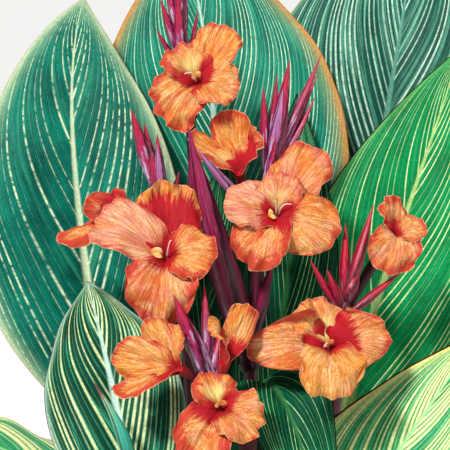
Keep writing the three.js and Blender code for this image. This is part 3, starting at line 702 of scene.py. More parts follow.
def leaf_outline(u):
    """Half the width of a leaf as a share: oval, widest at 0.42 of its length, pointed."""
    if u < WIDEST:
        return math.sin(math.pi / 2 * u / WIDEST) ** 0.9
    return 1 - ((u - WIDEST) / (1 - WIDEST)) ** 1.95


def vein_at(u, t, sweep):
    """How far up the midrib, from 0 to 1, the vein through a point of the blade leaves it."""
    spread = sweep * math.sin(math.pi / 2 * min(u / 0.45, 1)) ** 0.9
    return u - spread * (0.68 * t + 0.32 * t ** 3)


def length_of(curve, parts=20):
    return sum((curve((k + 1) / parts) - curve(k / parts)).length for k in range(parts))


def blade(spine, side, half_width, lift, curl, wave, waves, roll, ease, thickness, relief,
          along, across, crowd=1.0):
    """Points and faces of a closed thin blade, and (u, v, skin, half width) at each point.

    lift is the angle at which each half leaves the midrib and curl the angle it turns back by
    before its edge, at the root and at the tip; relief(u, v, half) says how far the surface is
    raised, how much thicker the lower skin is, how much wider the blade is and how far ahead.
    """
    row, points, places, sections = across + 1, [], [], []
    for i in range(along + 1):
        u = 1 - (1 - i / along) ** ease
        forward = ahead(spine, u)
        across_way = (side - forward * side.dot(forward)).normalized()
        across_way.rotate(Quaternion(forward, roll * u))
        sections.append((u, spine(u), forward, across_way, across_way.cross(forward), half_width(u)))
    for skin in (1, -1):
        for u, centre, forward, across_way, up, half in sections:
            leave, turn = mix(*lift, u), mix(*curl, u)
            for j in range(row):
                flat = 2 * j / across - 1
                v = math.copysign(abs(flat) ** crowd, flat)
                reach = abs(v)
                angle = leave - turn * reach
                raised, deeper, wider, ahead_by = relief(u, v, half)
                out = half * wider * (math.sin(leave) - math.sin(angle)) / turn
                wavy = wave * reach ** 2 * math.sin(math.pi * u) * math.sin(
                    2 * math.pi * (waves * u + 0.3 * math.copysign(1, v) * (reach > 0)))
                rise = half * wider * (math.cos(angle) - math.cos(leave)) / turn + wavy + raised
                thick = skin * (thickness / 2 * (1 - 0.55 * reach ** 4)) - (deeper if skin < 0 else 0)
                leaning = reach > 0.02
                slope = math.copysign(math.sin(angle), v) if leaning else 0
                upright = math.cos(angle) if leaning else 1
                points.append(centre + forward * ahead_by
                              + across_way * (math.copysign(out, v) - thick * slope)
                              + up * (rise + thick * upright))
                places.append((u, v, skin, half))
    count = (along + 1) * row
    faces = []
    for i in range(along):
        for j in range(across):
            a = i * row + j
            faces.append([a, a + 1, a + row + 1, a + row])
            faces.append([count + a, count + a + row, count + a + row + 1, count + a + 1])
    edge = list(range(across)) + [i * row + across for i in range(along)]
    edge += [along * row + j for j in range(across, 0, -1)] + [i * row for i in range(along, 0, -1)]
    for k, a in enumerate(edge):
        b = edge[(k + 1) % len(edge)]
        faces.append([b, a, count + a, count + b])
    return points, faces, places


# Leaf paints: dark and light ground green, cream vein, pale band, midrib, edge flush, edge line,
# then vein strength, strength left in a vein's gaps, vein breadth, band strength, band width,
# strength of the fine threads, flush width and line width in mm.
PAINTS = {
    "teal_cream": ("#004038", "#047c66", "#daecc0", "#3c9c78", "#ccdcb4", "#c0d0a4", "#b09c7c",
                   1.0, 0.04, 1.2, 0.4, 0.28, 0.25, 9, 0.9),
    "teal_banded": ("#004a3c", "#008468", "#dcfcd0", "#3ca886", "#bcdccc", "#d08c3c", "#a8743c",
                    1.0, 0.6, 1.0, 0.5, 0.42, 0.3, 11, 1.1),
    "grey_banded": ("#00302a", "#045040", "#cdeed2", "#56a286", "#5f9c86", "#86a47e", "#93875c",
                    0.95, 0.6, 1.6, 0.66, 0.38, 0.35, 4, 0.9),
    "bright_lined": ("#005c2c", "#009452", "#e8fcac", "#34b46c", "#b4d480", "#62a448", "#26060e",
                     1.0, 0.65, 1.05, 0.35, 0.25, 0.3, 4, 1.5),
    # painted shade: a darkened version of the lined paint, dark midrib and edge flush included, for
    # leaves inside the clump and under the blooms
    "shaded_lined": ("#001c12", "#006442", "#bcec98", "#0a7448", "#2f6e3c", "#246034", "#20050c",
                   0.9, 0.55, 0.85, 0.3, 0.25, 0.3, 2, 1.5),
    "gold_edged": ("#006c3e", "#00a068", "#fcf8ac", "#8cdc8c", "#a8e498", "#f8dc80", "#3a0810",
                   1.0, 0.95, 3.3, 0.6, 0.35, 0.2, 7, 2.2),
    "young_striped": ("#000e06", "#00402a", "#e6fab4", "#3cbc90", "#c4e6d4", "#b4c8b4", "#6a3a50",
                      1.0, 0.75, 2.3, 0.6, 0.24, 0.3, 3, 0.8),
}


def leaf_finish(name, dark, light, cream, pale, rib, flush, line,
                vein, gap, cord_width, band, wide, fine, flush_mm, line_mm):
    """Living leaf skin in one paint. The mark "veins" is (vein number, mm along, lower skin) and
    "edges" is (mm from the edge, share of the midrib's half width, sheath)."""
    skin, tree, shader = finish(name, Roughness=0.46, Specular_IOR_Level=0.06)
    number, distance, under = mark_parts(tree, "veins")
    edge, middle, sheath = mark_parts(tree, "edges")
    spot = add(tree, "ShaderNodeTexCoord").outputs["Object"]

    def drawn(vein_number, across, along):
        """A place in a noise that is drawn out along the veins, by its scale each way."""
        return add(tree, "ShaderNodeCombineXYZ", {
            0: add(tree, "ShaderNodeMath", {0: vein_number, 1: across}, operation="MULTIPLY"),
            1: add(tree, "ShaderNodeMath", {0: distance, 1: along}, operation="MULTIPLY")})

    # ground colour: soft clouds 40 mm across, and streaks that follow the veins
    clouds = add(tree, "ShaderNodeTexNoise", {"Vector": spot, "Scale": 24, "Detail": 3})
    streaks = add(tree, "ShaderNodeTexNoise", {
        "Vector": drawn(number, 2.3, 0.02), "Scale": 1.0, "Detail": 5, "Roughness": 0.7})
    ground_mix = add(tree, "ShaderNodeMath", {0: clouds, 1: streaks}, operation="ADD")
    ground_share = add(tree, "ShaderNodeMapRange", {0: ground_mix, 1: 0.72, 2: 1.25})
    ground = add(tree, "ShaderNodeMix", {0: ground_share, 6: dark, 7: light}, data_type="RGBA")
    # pale bands: some of the gaps between veins are filled with paler green
    band_noise = add(tree, "ShaderNodeTexNoise", {
        "Vector": drawn(number, 1.0, 0.006), "Scale": 1.15, "Detail": 2, "Roughness": 0.6})
    band_share = add(tree, "ShaderNodeMapRange", {
        0: band_noise, 1: 0.68 - 0.4 * wide, 2: 0.76 - 0.4 * wide, 3: 0.0, 4: band})
    banded = add(tree, "ShaderNodeMix", {0: band_share, 6: ground, 7: pale}, data_type="RGBA")
    # fine parallel ribs between the veins
    quarters = add(tree, "ShaderNodeMath", {0: number, 1: 4.0}, operation="MULTIPLY")
    thread = add(tree, "ShaderNodeMath", {0: quarters, 1: 0.5}, operation="PINGPONG")
    fine_share = add(tree, "ShaderNodeMapRange", {0: thread, 1: 0.02, 2: 0.22, 3: fine, 4: 0.0})
    threaded = add(tree, "ShaderNodeMix", {0: fine_share, 6: banded, 7: pale}, data_type="RGBA")
    # cream veins, each with a strength of its own, broken into dashes in places
    nearest = add(tree, "ShaderNodeMath", {0: number}, operation="ROUND")
    strength = add(tree, "ShaderNodeTexWhiteNoise", {"W": nearest}, noise_dimensions="1D")
    away = add(tree, "ShaderNodeMath", {0: number, 1: 0.5}, operation="PINGPONG")
    own = add(tree, "ShaderNodeMapRange", {0: strength.outputs["Value"], 1: 0.1, 2: 0.6, 3: 0.3, 4: 1.0})
    reach = add(tree, "ShaderNodeMapRange", {0: strength.outputs["Value"], 1: 0.1, 2: 0.9,
                                               3: 0.05 * cord_width, 4: 0.18 * cord_width})
    core = add(tree, "ShaderNodeMath", {0: reach, 1: 0.25}, operation="MULTIPLY")
    cord = add(tree, "ShaderNodeMapRange", {0: away, 1: core, 2: reach, 3: 1.0, 4: 0.0},
               interpolation_type="SMOOTHSTEP")
    dash_noise = add(tree, "ShaderNodeTexNoise", {
        "Vector": drawn(nearest, 7.31, 0.15), "Scale": 1.0, "Detail": 3})
    dashes = add(tree, "ShaderNodeMapRange", {0: dash_noise, 1: 0.38, 2: 0.54, 3: gap, 4: 1.0})
    strand_noise = add(tree, "ShaderNodeTexNoise", {
        "Vector": drawn(number, 13.0, 0.012), "Scale": 1.0, "Detail": 2})
    split = add(tree, "ShaderNodeMapRange", {0: strand_noise, 1: 0.38, 2: 0.52, 3: 0.45, 4: 1.0})
    whole = add(tree, "ShaderNodeMath", {0: cord, 1: split}, operation="MULTIPLY")
    seen = add(tree, "ShaderNodeMath", {0: whole, 1: own}, operation="MULTIPLY")
    broken = add(tree, "ShaderNodeMath", {0: seen, 1: dashes}, operation="MULTIPLY")
    vein_share = add(tree, "ShaderNodeMath", {0: broken, 1: vein}, operation="MULTIPLY")
    warmth = add(tree, "ShaderNodeMapRange", {0: own, 1: 0.3, 2: 0.8, 3: 0.3, 4: 1.0})
    vein_tint = add(tree, "ShaderNodeMix", {0: warmth, 6: pale, 7: cream}, data_type="RGBA")
    veined = add(tree, "ShaderNodeMix", {0: vein_share, 6: threaded, 7: vein_tint}, data_type="RGBA")
    # midrib, edge flush and edge line
    rib_share = add(tree, "ShaderNodeMapRange", {0: middle, 1: 0.5, 2: 1.8, 3: 0.95, 4: 0.0},
                    interpolation_type="SMOOTHSTEP")
    ribbed = add(tree, "ShaderNodeMix", {0: rib_share, 6: veined, 7: rib}, data_type="RGBA")
    inner = [(a + b) / 2 for a, b in zip(linear(flush), linear(pale))]
    inner_share = add(tree, "ShaderNodeMapRange", {0: edge, 1: 0.0, 2: 2.4 * flush_mm, 3: 0.7, 4: 0.0},
                      interpolation_type="SMOOTHSTEP")
    glowing = add(tree, "ShaderNodeMix", {0: inner_share, 6: ribbed, 7: inner}, data_type="RGBA")
    flush_share = add(tree, "ShaderNodeMapRange", {0: edge, 1: 0.0, 2: flush_mm, 3: 0.85, 4: 0.0},
                      interpolation_type="SMOOTHSTEP")
    flushed = add(tree, "ShaderNodeMix", {0: flush_share, 6: glowing, 7: flush}, data_type="RGBA")
    line_share = add(tree, "ShaderNodeMapRange", {0: edge, 1: line_mm * 0.7, 2: line_mm, 3: 1.0, 4: 0.0})
    lined = add(tree, "ShaderNodeMix", {0: line_share, 6: flushed, 7: line}, data_type="RGBA")
    # the lower skin is paler and greyer, the sleeve round the stalk is burgundy
    lower = add(tree, "ShaderNodeMath", {0: under, 1: 0.35}, operation="MULTIPLY")
    turned = add(tree, "ShaderNodeMix", {0: lower, 6: lined, 7: "#6f9a7c"}, data_type="RGBA")
    sleeve = add(tree, "ShaderNodeMath", {0: sheath, 1: 0.8}, operation="MULTIPLY")
    worn = add(tree, "ShaderNodeMix", {0: sleeve, 6: turned, 7: "#6a1a36"}, data_type="RGBA")
    cells = add(tree, "ShaderNodeTexNoise", {"Vector": spot, "Scale": 420, "Detail": 3, "Roughness": 0.6})
    mottle = add(tree, "ShaderNodeMapRange", {0: cells, 1: 0.35, 2: 0.65, 3: 0.82, 4: 1.16})
    mottled = add(tree, "ShaderNodeMix", {0: 1.0, 6: worn, 7: mottle}, data_type="RGBA",
                  blend_type="MULTIPLY")
    hollow = add(tree, "ShaderNodeMath", {0: away, 1: streaks}, operation="ADD")
    bump = add(tree, "ShaderNodeBump", {"Height": hollow, "Strength": 0.45, "Distance": 0.0009})
    feed(tree, shader, {"Base Color": mottled, "Normal": bump})
    return skin


leaf_skins = {name: leaf_finish(name + "_leaf", *paint) for name, paint in PAINTS.items()}


def sleeve(stalk, at, outward):
    """The clasping foot of a leaf: a thin open tube round its stalk, highest on the leaf's side."""
    host = bezier(*stalk["curve"])
    low, high = param_at(stalk, at - SHEATH_BELOW), param_at(stalk, at + SHEATH_ABOVE)
    sides, steps = SHEATH_SIDES, SHEATH_STEPS
    points, veins, edges = [], [], []
    for wall in (SHEATH_WALL, SHEATH_INNER):
        for i in range(steps + 1):
            share = i / steps
            for k in range(sides):
                turn = 2 * math.pi * k / sides
                way = Vector((math.cos(turn), math.sin(turn), 0))
                dip = SHEATH_DIP * (1 - way.dot(outward)) / 2
                t = mix(low, high, share * (1 - dip))
                # thin at the foot, full above it, thin again and flared at the lip
                thick = wall * min(1, 0.35 + share * 6) * (1 - 0.6 * max(share - 0.93, 0) / 0.07)
                flare = SHEATH_LIP * max(share - 0.9, 0) / 0.1
                r = mix(*stalk["radius"], t) + CLEARANCE + thick + flare
                points.append(host(t) + way * r)
                veins.append((9 * math.cos(turn), share * SHEATH_GRAIN, 0))
                edges.append(((1 - share) * SHEATH_GRAIN + 0.3, 9, 1))
    top = steps * sides
    count = top + sides
    faces = []
    for outer in tube_faces(sides, steps):
        faces += [outer, [count + p for p in reversed(outer)]]
    for k in range(sides):
        j = (k + 1) % sides
        faces.append([top + k, top + j, count + top + j, count + top + k])
        faces.append([j, k, count + k, count + j])
    return points, faces, {"veins": veins, "edges": edges}


for name, (host_name, at, bends, tip, face, width, wave, paint, veins_in, sweep) in LEAVES.items():
    stalk = STALKS[host_name]
    root = bezier(*stalk["curve"])(param_at(stalk, at))
    outward = Vector(bends[0]) - root
    outward.z = 0
    outward.normalize()
    top_radius = mix(*stalk["radius"], param_at(stalk, at + SHEATH_ABOVE))
    root += outward * (top_radius + 1)
    spine = bezier(root, *bends, tip)
    side = (Vector(tip) - root).cross(Vector(face)).normalized()
    length = length_of(spine)
    salt = len(name) * 3.7 + at * 0.01      # gives each leaf noise of its own

    def half_width(u):
        ragged = 1 + 0.014 * noise.noise((u * 9, salt, 0))
        return max(width / 2 * leaf_outline(u) * ragged, PETIOLE * (1 - u) ** 2, LEAST_HALF)

    def relief(u, v, half):
        number = veins_in * vein_at(u, abs(v), sweep)
        folds = FOLD_HEIGHT * math.sin(2 * math.pi * number / 5 + salt) * abs(v) * (1 - u) ** 0.5
        dents = DENT_HEIGHT * noise.noise((u * 5 + salt, v * 2.2, 1)) * abs(v)
        off = abs(v) * half
        groove = -GROOVE_DEPTH * (1 - u) * math.exp(-(off / GROOVE_HALF) ** 2)
        midrib = RIB_DEPTH * (1 - u) * math.exp(-(off / (3.6 - 1.6 * u)) ** 2)
        return folds + dents + groove, midrib, 1, 0

    points, faces, places = blade(
        spine, side, half_width, (0.7, 0.1), (0.75, 0.35), wave, 3, 0, 1, LEAF_THICKNESS, relief,
        LEAF_ALONG, LEAF_ACROSS, crowd=1.3)
    veins, edges = [], []
    for u, v, skin, half in places:
        number = veins_in * vein_at(u, abs(v), sweep)
        veins.append((number + (100 if v > 0 else 0) + salt, u * length, 0 if skin > 0 else 1))
        petiole = max(1 - u / 0.09, 0)
        tip_gap = (1 - u) * length * 0.5
        rib_half = 6.2 * (1 - u) ** 1.35 + 0.35
        edges.append((min(half * (1 - abs(v)), tip_gap), abs(v) * half / rib_half, petiole * 0.8))
    shells = [(points, faces, {"veins": veins, "edges": edges}, 0), (*sleeve(stalk, at, outward), 0)]
    body = made(name + "_blade", shells, [leaf_skins[paint]], sharp=60)
    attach(body, "root")
    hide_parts(name)


# ================================================================ furled leaf
# The newest leaf is still rolled tight round itself on top of its shoot: a slim turquoise
# spindle with the dark red edge of the blade winding up it and a dry red-brown tip.
FURLED_ON = "shoot_front"
FURLED_BEND, FURLED_TIP = (-91, -121.6, 700), (-122, -104, 742)
FURLED_RADIUS, FURLED_SIDES, FURLED_STEPS = 7.2, 40, 44
SEAM_AT, SEAM_LEAN = 0.53, 0.2

# Young leaf skin: satin, green to turquoise and red-brown at the tip, with faint lengthwise
# stripes of painted shade round the roll.
furled_skin, tree, shader = finish("furled_leaf_skin", Roughness=0.42)
wound = mark_parts(tree, "grain")
length_tones = add(tree, "ShaderNodeValToRGB", {"Fac": wound["Z"]}, (
    (0.0, "#1d7a58"), (0.35, "#2a9c84"), (0.6, "#4cb090"), (0.82, "#8cb48c"), (0.9, "#8c4438"),
    (1.0, "#5c1818")))
seam = add(tree, "ShaderNodeMapRange", {0: wound["X"], 1: 0.04, 2: 0.12, 3: 1.0, 4: 0.0})
sealed = add(tree, "ShaderNodeMix", {0: seam, 6: length_tones, 7: "#4c1616"}, data_type="RGBA")
# painted shade: soft dark stripes, about nine and a half round the roll, multiplied into the colour
rolls = add(tree, "ShaderNodeMath", {0: wound["X"], 1: 60.0}, operation="MULTIPLY")
ribs = add(tree, "ShaderNodeMath", {0: rolls}, operation="SINE")
shade = add(tree, "ShaderNodeMapRange", {0: ribs, 1: -1, 2: 1, 3: 0.78, 4: 1.12})
shaded = add(tree, "ShaderNodeMix", {0: 1.0, 6: sealed, 7: shade}, data_type="RGBA",
             blend_type="MULTIPLY")
feed(tree, shader, {"Base Color": shaded})

shoot = bezier(*STALKS[FURLED_ON]["curve"])
furled_root = shoot(1) + ahead(shoot, 1) * CLEARANCE
furled_curve = bezier(furled_root, FURLED_BEND, FURLED_TIP)


def past_seam(turned, share):
    """How far round from the seam, from 0 to 1, a point of the roll lies."""
    return (turned + SEAM_AT - SEAM_LEAN * share) % 1


def rolled_radius(share, turn):
    taper = min(1, 1.5 * (1 - share) + 0.08)
    return FURLED_RADIUS * taper * (0.8 + 0.18 * past_seam(turn / (2 * math.pi), share))


points, faces, marks = rod(furled_curve, rolled_radius, FURLED_SIDES, FURLED_STEPS)
marks["grain"] = [(past_seam((math.atan2(s, c) / (2 * math.pi)) % 1, share), 0, share)
                  for c, s, share in marks["grain"]]
furled = made("leaf_furled_roll", [(points, faces, marks, 0)], [furled_skin], sharp=50)
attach(furled, "root")
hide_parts("leaf_furled")


# ================================================================ blooms
# A canna bloom is a short tube out of a warty ovary, spreading into broad ruffled petals that
# are thin as crepe: crimson in the throat, orange to peach outward in fine fanned streaks, with
# a paler gold rim. Five have a petal-like cream stamen, and four of them thin pale styles.
BLOOM_TILT = math.radians(-10)
TUBE_BACK, TUBE_LENGTH, TUBE_BASE, TUBE_MOUTH = 32, 24, 3.2, 6.2
OVARY_ROOT, OVARY_SWELL, OVARY_STRAIGHT = 2.6, 2.2, 14
PETAL_THICKNESS, CLAW, FAN_FROM = 0.8, 0.3, 0.18
PETAL_ALONG, PETAL_ACROSS = 36, 40
STAMEN_WIDTH = 12
STYLE_RADIUS, STYLE_LENGTH = 0.55, 15
# sides and steps of an ovary, a tube and a style, and a stamen's faces along and across
OVARY_FINE, TUBE_FINE, STYLE_FINE, STAMEN_FINE = (18, 26), (24, 14), (8, 14), (24, 16)
WARTS_PER_AREA, WART_RADIUS, WART_SEED = 260000, 0.62 * MM, 3
# heights in mm of a petal's crumples, ruffles and flutter and the depth of its ragged end, at
# the usual width, then of its creases and pleats; its edge's lobes and frays as shares
USUAL_WIDTH, CRUMPLE, RUFFLE, FLUTTER, JAG = 60, 6.0, 3.0, 2.6, 4.0
CREASE, PLEAT, LOBE, FRAY = 1.8, 0.35, 0.13, 0.014
OPEN_FROM = 0.25        # the share of a petal's length at which it leaves the tube
# the stalk and height it grows from, its throat, the way it opens, its petals, its stamen's tip
# and the hooks of its styles. A petal is (tip right, back and up of the throat, width, forward
# arch, roll, rounding) and then its tints: blush from gold to peach-pink, reach of the crimson
# heart, red scorch in from the rim, and cream in the throat.
BLOOMS = {
    "bloom_top": ("stalk_back", 958, (-27, 55, 1012), (0.05, -0.95, 0.3), [
        (28, 8, 56, 50, 6, -0.3, 0.32, 0.2, 0.3, 0.35, 0.0),
        (-22, 6, 36, 56, 12, 0.25, 0.36, 0.4, 0.5, 0.7, 1.0),
        (-38, -4, -38, 64, 12, 0.2, 0.24, 0.35, 0.38, 0.7, 0.0),
        (40, -16, -14, 60, 20, -0.3, 0.45, 0.35, 0.46, 0.3, 0.0),
    ], (-4, -5, 8), [(-14, 2)]),
    "bloom_left": ("stalk_left", 850, (-56, -46, 852), (0.1, -0.9, 0.42), [
        (2, 16, 71, 70, -6, 0.2, 0.4, 0.1, 0.88, 0.2, 0.0),
        (48, -6, 4, 64, 14, -0.3, 0.42, 0.3, 0.38, 0.7, 0.0),
        (-13, -8, -66, 70, 18, 0.2, 0.62, 0.6, 0.42, 0.75, 0.0),
        (-65, 0, 38, 58, 20, 0.1, 0.15, 1.0, 0.36, 0.3, 0.0),
    ], (-16, -8, 4), [(4, 10)]),
    "bloom_left_side": ("stalk_left", 863, (-106, -8, 888), (-0.75, -0.3, 0.3), [
        (-60, 4, -27, 30, 6, -0.2, 0.9, 0.2, 0.62, 0.9, 0.0),
        (6, 4, 22, 36, 8, 0.4, 0.5, 0.1, 0.9, 0.6, 0.6),
        (-32, -2, 10, 32, 8, -0.1, 0.7, 0.5, 0.72, 0.9, 0.0),
    ], None, []),
    "bloom_middle": ("stalk_middle", 870, (50, -20, 888), (0, -0.95, 0.3), [
        (-50, -4, 16, 54, 12, 0.3, 0.36, 1.0, 0.46, 0.2, 0.0),
        (4, 2, 40, 48, 14, -0.2, 0.45, 0.8, 0.52, 0.5, 0.6),
        (38, 16, 68, 56, -6, -0.3, 0.4, 0.6, 0.5, 0.5, 0.0),
        (56, -10, -26, 62, 14, 0.3, 0.45, 0.45, 0.44, 0.4, 0.0),
        (-30, -14, -50, 60, 18, 0.25, 0.4, 0.4, 0.44, 1.0, 0.0),
    ], (-8, -6, -2), [(-2, 9), (14, 6)]),
    "bloom_middle_side": ("stalk_middle", 896, (12, 16, 930), (-0.2, -0.6, 0.75), [
        (-46, 2, 34, 38, 6, 0.3, 0.6, 0.0, 0.3, 0.6, 0.2),
        (-10, 8, 56, 44, 2, -0.2, 0.4, 0.1, 0.5, 0.7, 0.0),
        (16, 0, 40, 38, 4, -0.3, 0.5, 0.2, 0.9, 0.4, 0.0),
    ], None, []),
    "bloom_right": ("stalk_right", 770, (98, -92, 774), (0, -0.9, 0.42), [
        (-78, 6, -6, 57, 12, -0.3, 1.6, 0.55, 0.42, 0.6, 0.0),
        (-18, 6, 44, 54, 8, 0.2, 0.4, 0.4, 0.56, 0.3, 1.0),
        (58, 6, 8, 60, 12, 0.3, 0.8, 0.6, 0.6, 0.5, 0.0),
        (2, -26, -46, 62, 38, -0.1, 0.5, 0.05, 0.36, 0.1, 0.0),
    ], (-2, -6, 6), [(-6, -4)]),
    "bloom_right_side": ("stalk_right", 790, (166, -30, 872), (0.4, -0.6, 0.6), [
        (-14, -8, -38, 50, 10, 0.3, 0.4, 0.6, 0.36, 0.6, 0.0),
        (28, 4, 8, 42, 6, -0.3, 0.42, 0.5, 0.36, 0.4, 0.0),
        (-2, 8, 36, 40, 4, 0.3, 0.45, 0.5, 0.5, 0.6, 0.0),
    ], None, []),
    "bloom_front_left": ("stalk_front", 716, (-48, -114, 762), (-0.6, -0.6, 0.4), [
        (-56, 4, 12, 42, 8, -0.4, 0.5, 0.05, 0.3, 0.3, 0.0),
        (-26, 12, 42, 28, 4, 0.3, 0.7, 0.1, 0.24, 0.3, 0.0),
        (-54, -12, -24, 36, 8, 0.3, 0.42, 0.2, 0.5, 0.7, 0.0),
        (-2, 10, 38, 32, 4, -0.2, 0.5, 0.1, 0.3, 0.4, 0.0),
    ], None, []),
    "bloom_front": ("stalk_front", 700, (-4, -142, 730), (0.1, -0.9, 0.42), [
        (-14, 8, 32, 44, 8, 0.2, 0.5, 0.25, 0.46, 0.8, 0.9),
        (36, -10, -20, 58, 16, -0.3, 0.42, 0.5, 0.42, 0.3, 0.0),
        (-30, -4, -52, 58, 14, 0.3, 0.4, 0.5, 0.5, 1.0, 0.0),
    ], (0, -8, 7), []),
    "bloom_front_bud": ("stalk_front", 736, (1, -114, 772), (0.2, -0.4, 0.9), [
        (20, 6, 46, 28, 4, 0.4, 0.35, 0.0, 0.6, 0.4, 0.0),
        (-14, -16, 20, 30, 34, -0.3, 0.4, 0.0, 0.7, 0.3, 0.0),
    ], None, []),
}


def tilted(v):
    """A direction of a bloom's own frame, which faces the front, tipped up."""
    turned = Vector(v)
    turned.rotate(Quaternion((1, 0, 0), BLOOM_TILT))
    return turned


def petal_outline(u):
    """Half the width of a petal as a share: a narrow claw that fans out into a broad limb."""
    return CLAW + (1 - CLAW) * math.sin(math.pi / 2 * min(u / 0.75, 1)) ** 1.3


def petal_recede(u, v, rounding):
    """How far the end of a petal draws back from its tip towards its sides, in mm."""
    return rounding * (1 - math.sqrt(1 - 0.98 * v * v)) * u ** 2


def petal_spine(throat, opens, tip, arch):
    """A curve from inside the tube to the petal's tip, and the way its width lies."""
    reach = tilted(tip)
    forward = reach.dot(opens)
    outward = reach - opens * forward
    spread = outward.length
    outward.normalize()
    stops = [(1.5, -13), (3.5, 3), (spread * 0.55, arch), (spread, forward)]
    spine = bezier(*[throat + outward * out + opens * along for out, along in stops])
    return spine, outward.cross(opens)


# Petal skin: thin moist crepe. Its mark "fan" is (angle round the throat end, u, blush), "limits"
# is (mm from the edge, reverse, heart) and "tints" is (scorch, cream, the petal's own number).
# Streaks fan out because they keep to one angle.
petal_skin, tree, shader = finish(
    "crepe_petal", Roughness=0.55, Specular_IOR_Level=0.25, Sheen_Weight=0.04, Sheen_Roughness=0.4,
    Subsurface_Weight=0.08, Subsurface_Scale=0.002)
shader.inputs["Subsurface Radius"].default_value = (1.0, 0.3, 0.12)
across_v, along_u, blush = mark_parts(tree, "fan")
edge, reverse, heart = mark_parts(tree, "limits")
scorch, cream, own = mark_parts(tree, "tints")
spot = add(tree, "ShaderNodeTexCoord").outputs["Object"]
fanned = add(tree, "ShaderNodeCombineXYZ", {0: across_v, 1: along_u, 2: own})
drawn = add(tree, "ShaderNodeMapping", {"Vector": fanned, "Scale": (22, 2.6, 1)})
streaks = add(tree, "ShaderNodeTexNoise", {
    "Vector": drawn, "Scale": 1.0, "Detail": 7, "Roughness": 0.8, "Distortion": 0.25})
drawn = add(tree, "ShaderNodeMapping", {"Vector": fanned, "Scale": (64, 5, 1)})
threads = add(tree, "ShaderNodeTexNoise", {
    "Vector": drawn, "Scale": 1.0, "Detail": 4, "Roughness": 0.7})
drawn = add(tree, "ShaderNodeMapping", {"Vector": fanned, "Scale": (3.2, 2.2, 1)})
washes = add(tree, "ShaderNodeTexNoise", {
    "Vector": drawn, "Scale": 1.0, "Detail": 6, "Roughness": 0.7, "Distortion": 0.7})
clouds = add(tree, "ShaderNodeTexNoise", {"Vector": spot, "Scale": 70, "Detail": 5, "Roughness": 0.65})
mottles = add(tree, "ShaderNodeTexNoise", {"Vector": spot, "Scale": 520, "Detail": 4, "Roughness": 0.7})
# ground: gold to peach by the petal's own blush, pushed about by the clouds
cloudy = add(tree, "ShaderNodeMapRange", {0: clouds, 1: 0.35, 2: 0.65, 3: -0.4, 4: 0.4})
toned = add(tree, "ShaderNodeMath", {0: blush, 1: cloudy}, operation="ADD", use_clamp=True)
ground = add(tree, "ShaderNodeValToRGB", {"Fac": toned}, (
    (0.0, "#e89322"), (0.5, "#e6842e"), (1.0, "#ea907a")))
# lighter, in washes, threads and mottles together: partly the petal's own paler tone, partly painted
# highlight
pale_mix = add(tree, "ShaderNodeMath", {0: washes, 1: threads}, operation="ADD")
pale_mix = add(tree, "ShaderNodeMath", {0: pale_mix, 1: mottles}, operation="ADD")
pale_highlight_share = add(tree, "ShaderNodeMapRange", {0: pale_mix, 1: 1.38, 2: 1.76, 3: 0.0, 4: 0.9})
pale_and_highlit = add(tree, "ShaderNodeMix", {0: pale_highlight_share, 6: ground, 7: "#fbcf92"}, data_type="RGBA")
# broad red-orange washes
wash = add(tree, "ShaderNodeMapRange", {0: washes, 1: 0.5, 2: 0.34, 3: 0.0, 4: 1.0})
wash_share = add(tree, "ShaderNodeMath", {0: wash, 1: scorch}, operation="MULTIPLY")
washed = add(tree, "ShaderNodeMix", {0: wash_share, 6: pale_and_highlit, 7: "#dc5424"}, data_type="RGBA")
# red veins, closest near the heart
red_lines = add(tree, "ShaderNodeMapRange", {0: streaks, 1: 0.5, 2: 0.37, 3: 0.0, 4: 0.9})
red_near = add(tree, "ShaderNodeMapRange", {0: along_u, 1: 0.35, 2: 0.9, 3: 1.0, 4: 0.5})
red_share = add(tree, "ShaderNodeMath", {0: red_lines, 1: red_near}, operation="MULTIPLY")
streaked = add(tree, "ShaderNodeMix", {0: red_share, 6: washed, 7: "#cc2c18"}, data_type="RGBA")
thread_shade = add(tree, "ShaderNodeMapRange", {0: threads, 1: 0.34, 2: 0.66, 3: 0.64, 4: 1.12})
threaded = add(tree, "ShaderNodeMix", {0: 1.0, 6: streaked, 7: thread_shade}, data_type="RGBA",
               blend_type="MULTIPLY")
# red scorch running in from the rim in tongues
tongue = add(tree, "ShaderNodeMapRange", {0: washes, 1: 0.35, 2: 0.62, 3: 0.0, 4: 19.0})
depth = add(tree, "ShaderNodeMath", {0: tongue, 1: scorch}, operation="MULTIPLY")
frayed = add(tree, "ShaderNodeMapRange", {0: streaks, 1: 0.3, 2: 0.7, 3: -3.0, 4: 3.0})
into = add(tree, "ShaderNodeMath", {0: edge, 1: frayed}, operation="ADD")
inside = add(tree, "ShaderNodeMath", {0: depth, 1: into}, operation="SUBTRACT")
burnt_share = add(tree, "ShaderNodeMapRange", {0: inside, 1: -2.0, 2: 5.0, 3: 0.0, 4: 0.85},
                  interpolation_type="SMOOTHSTEP")
burnt = add(tree, "ShaderNodeMix", {0: burnt_share, 6: threaded, 7: "#c01418"}, data_type="RGBA")
# crimson heart with a ragged streaky border
ragged = add(tree, "ShaderNodeMapRange", {0: streaks, 1: 0.3, 2: 0.7, 3: -0.16, 4: 0.16})
reach = add(tree, "ShaderNodeMath", {0: heart, 1: ragged}, operation="ADD")
past = add(tree, "ShaderNodeMath", {0: along_u, 1: reach}, operation="SUBTRACT")
crimson_share = add(tree, "ShaderNodeMapRange", {0: past, 1: -0.03, 2: 0.05, 3: 1.0, 4: 0.0},
                    interpolation_type="SMOOTHSTEP")
depths = add(tree, "ShaderNodeValToRGB", {"Fac": threads}, (
    (0.3, "#82000c"), (0.66, "#d20c20")))
hearted = add(tree, "ShaderNodeMix", {0: crimson_share, 6: burnt, 7: depths}, data_type="RGBA")
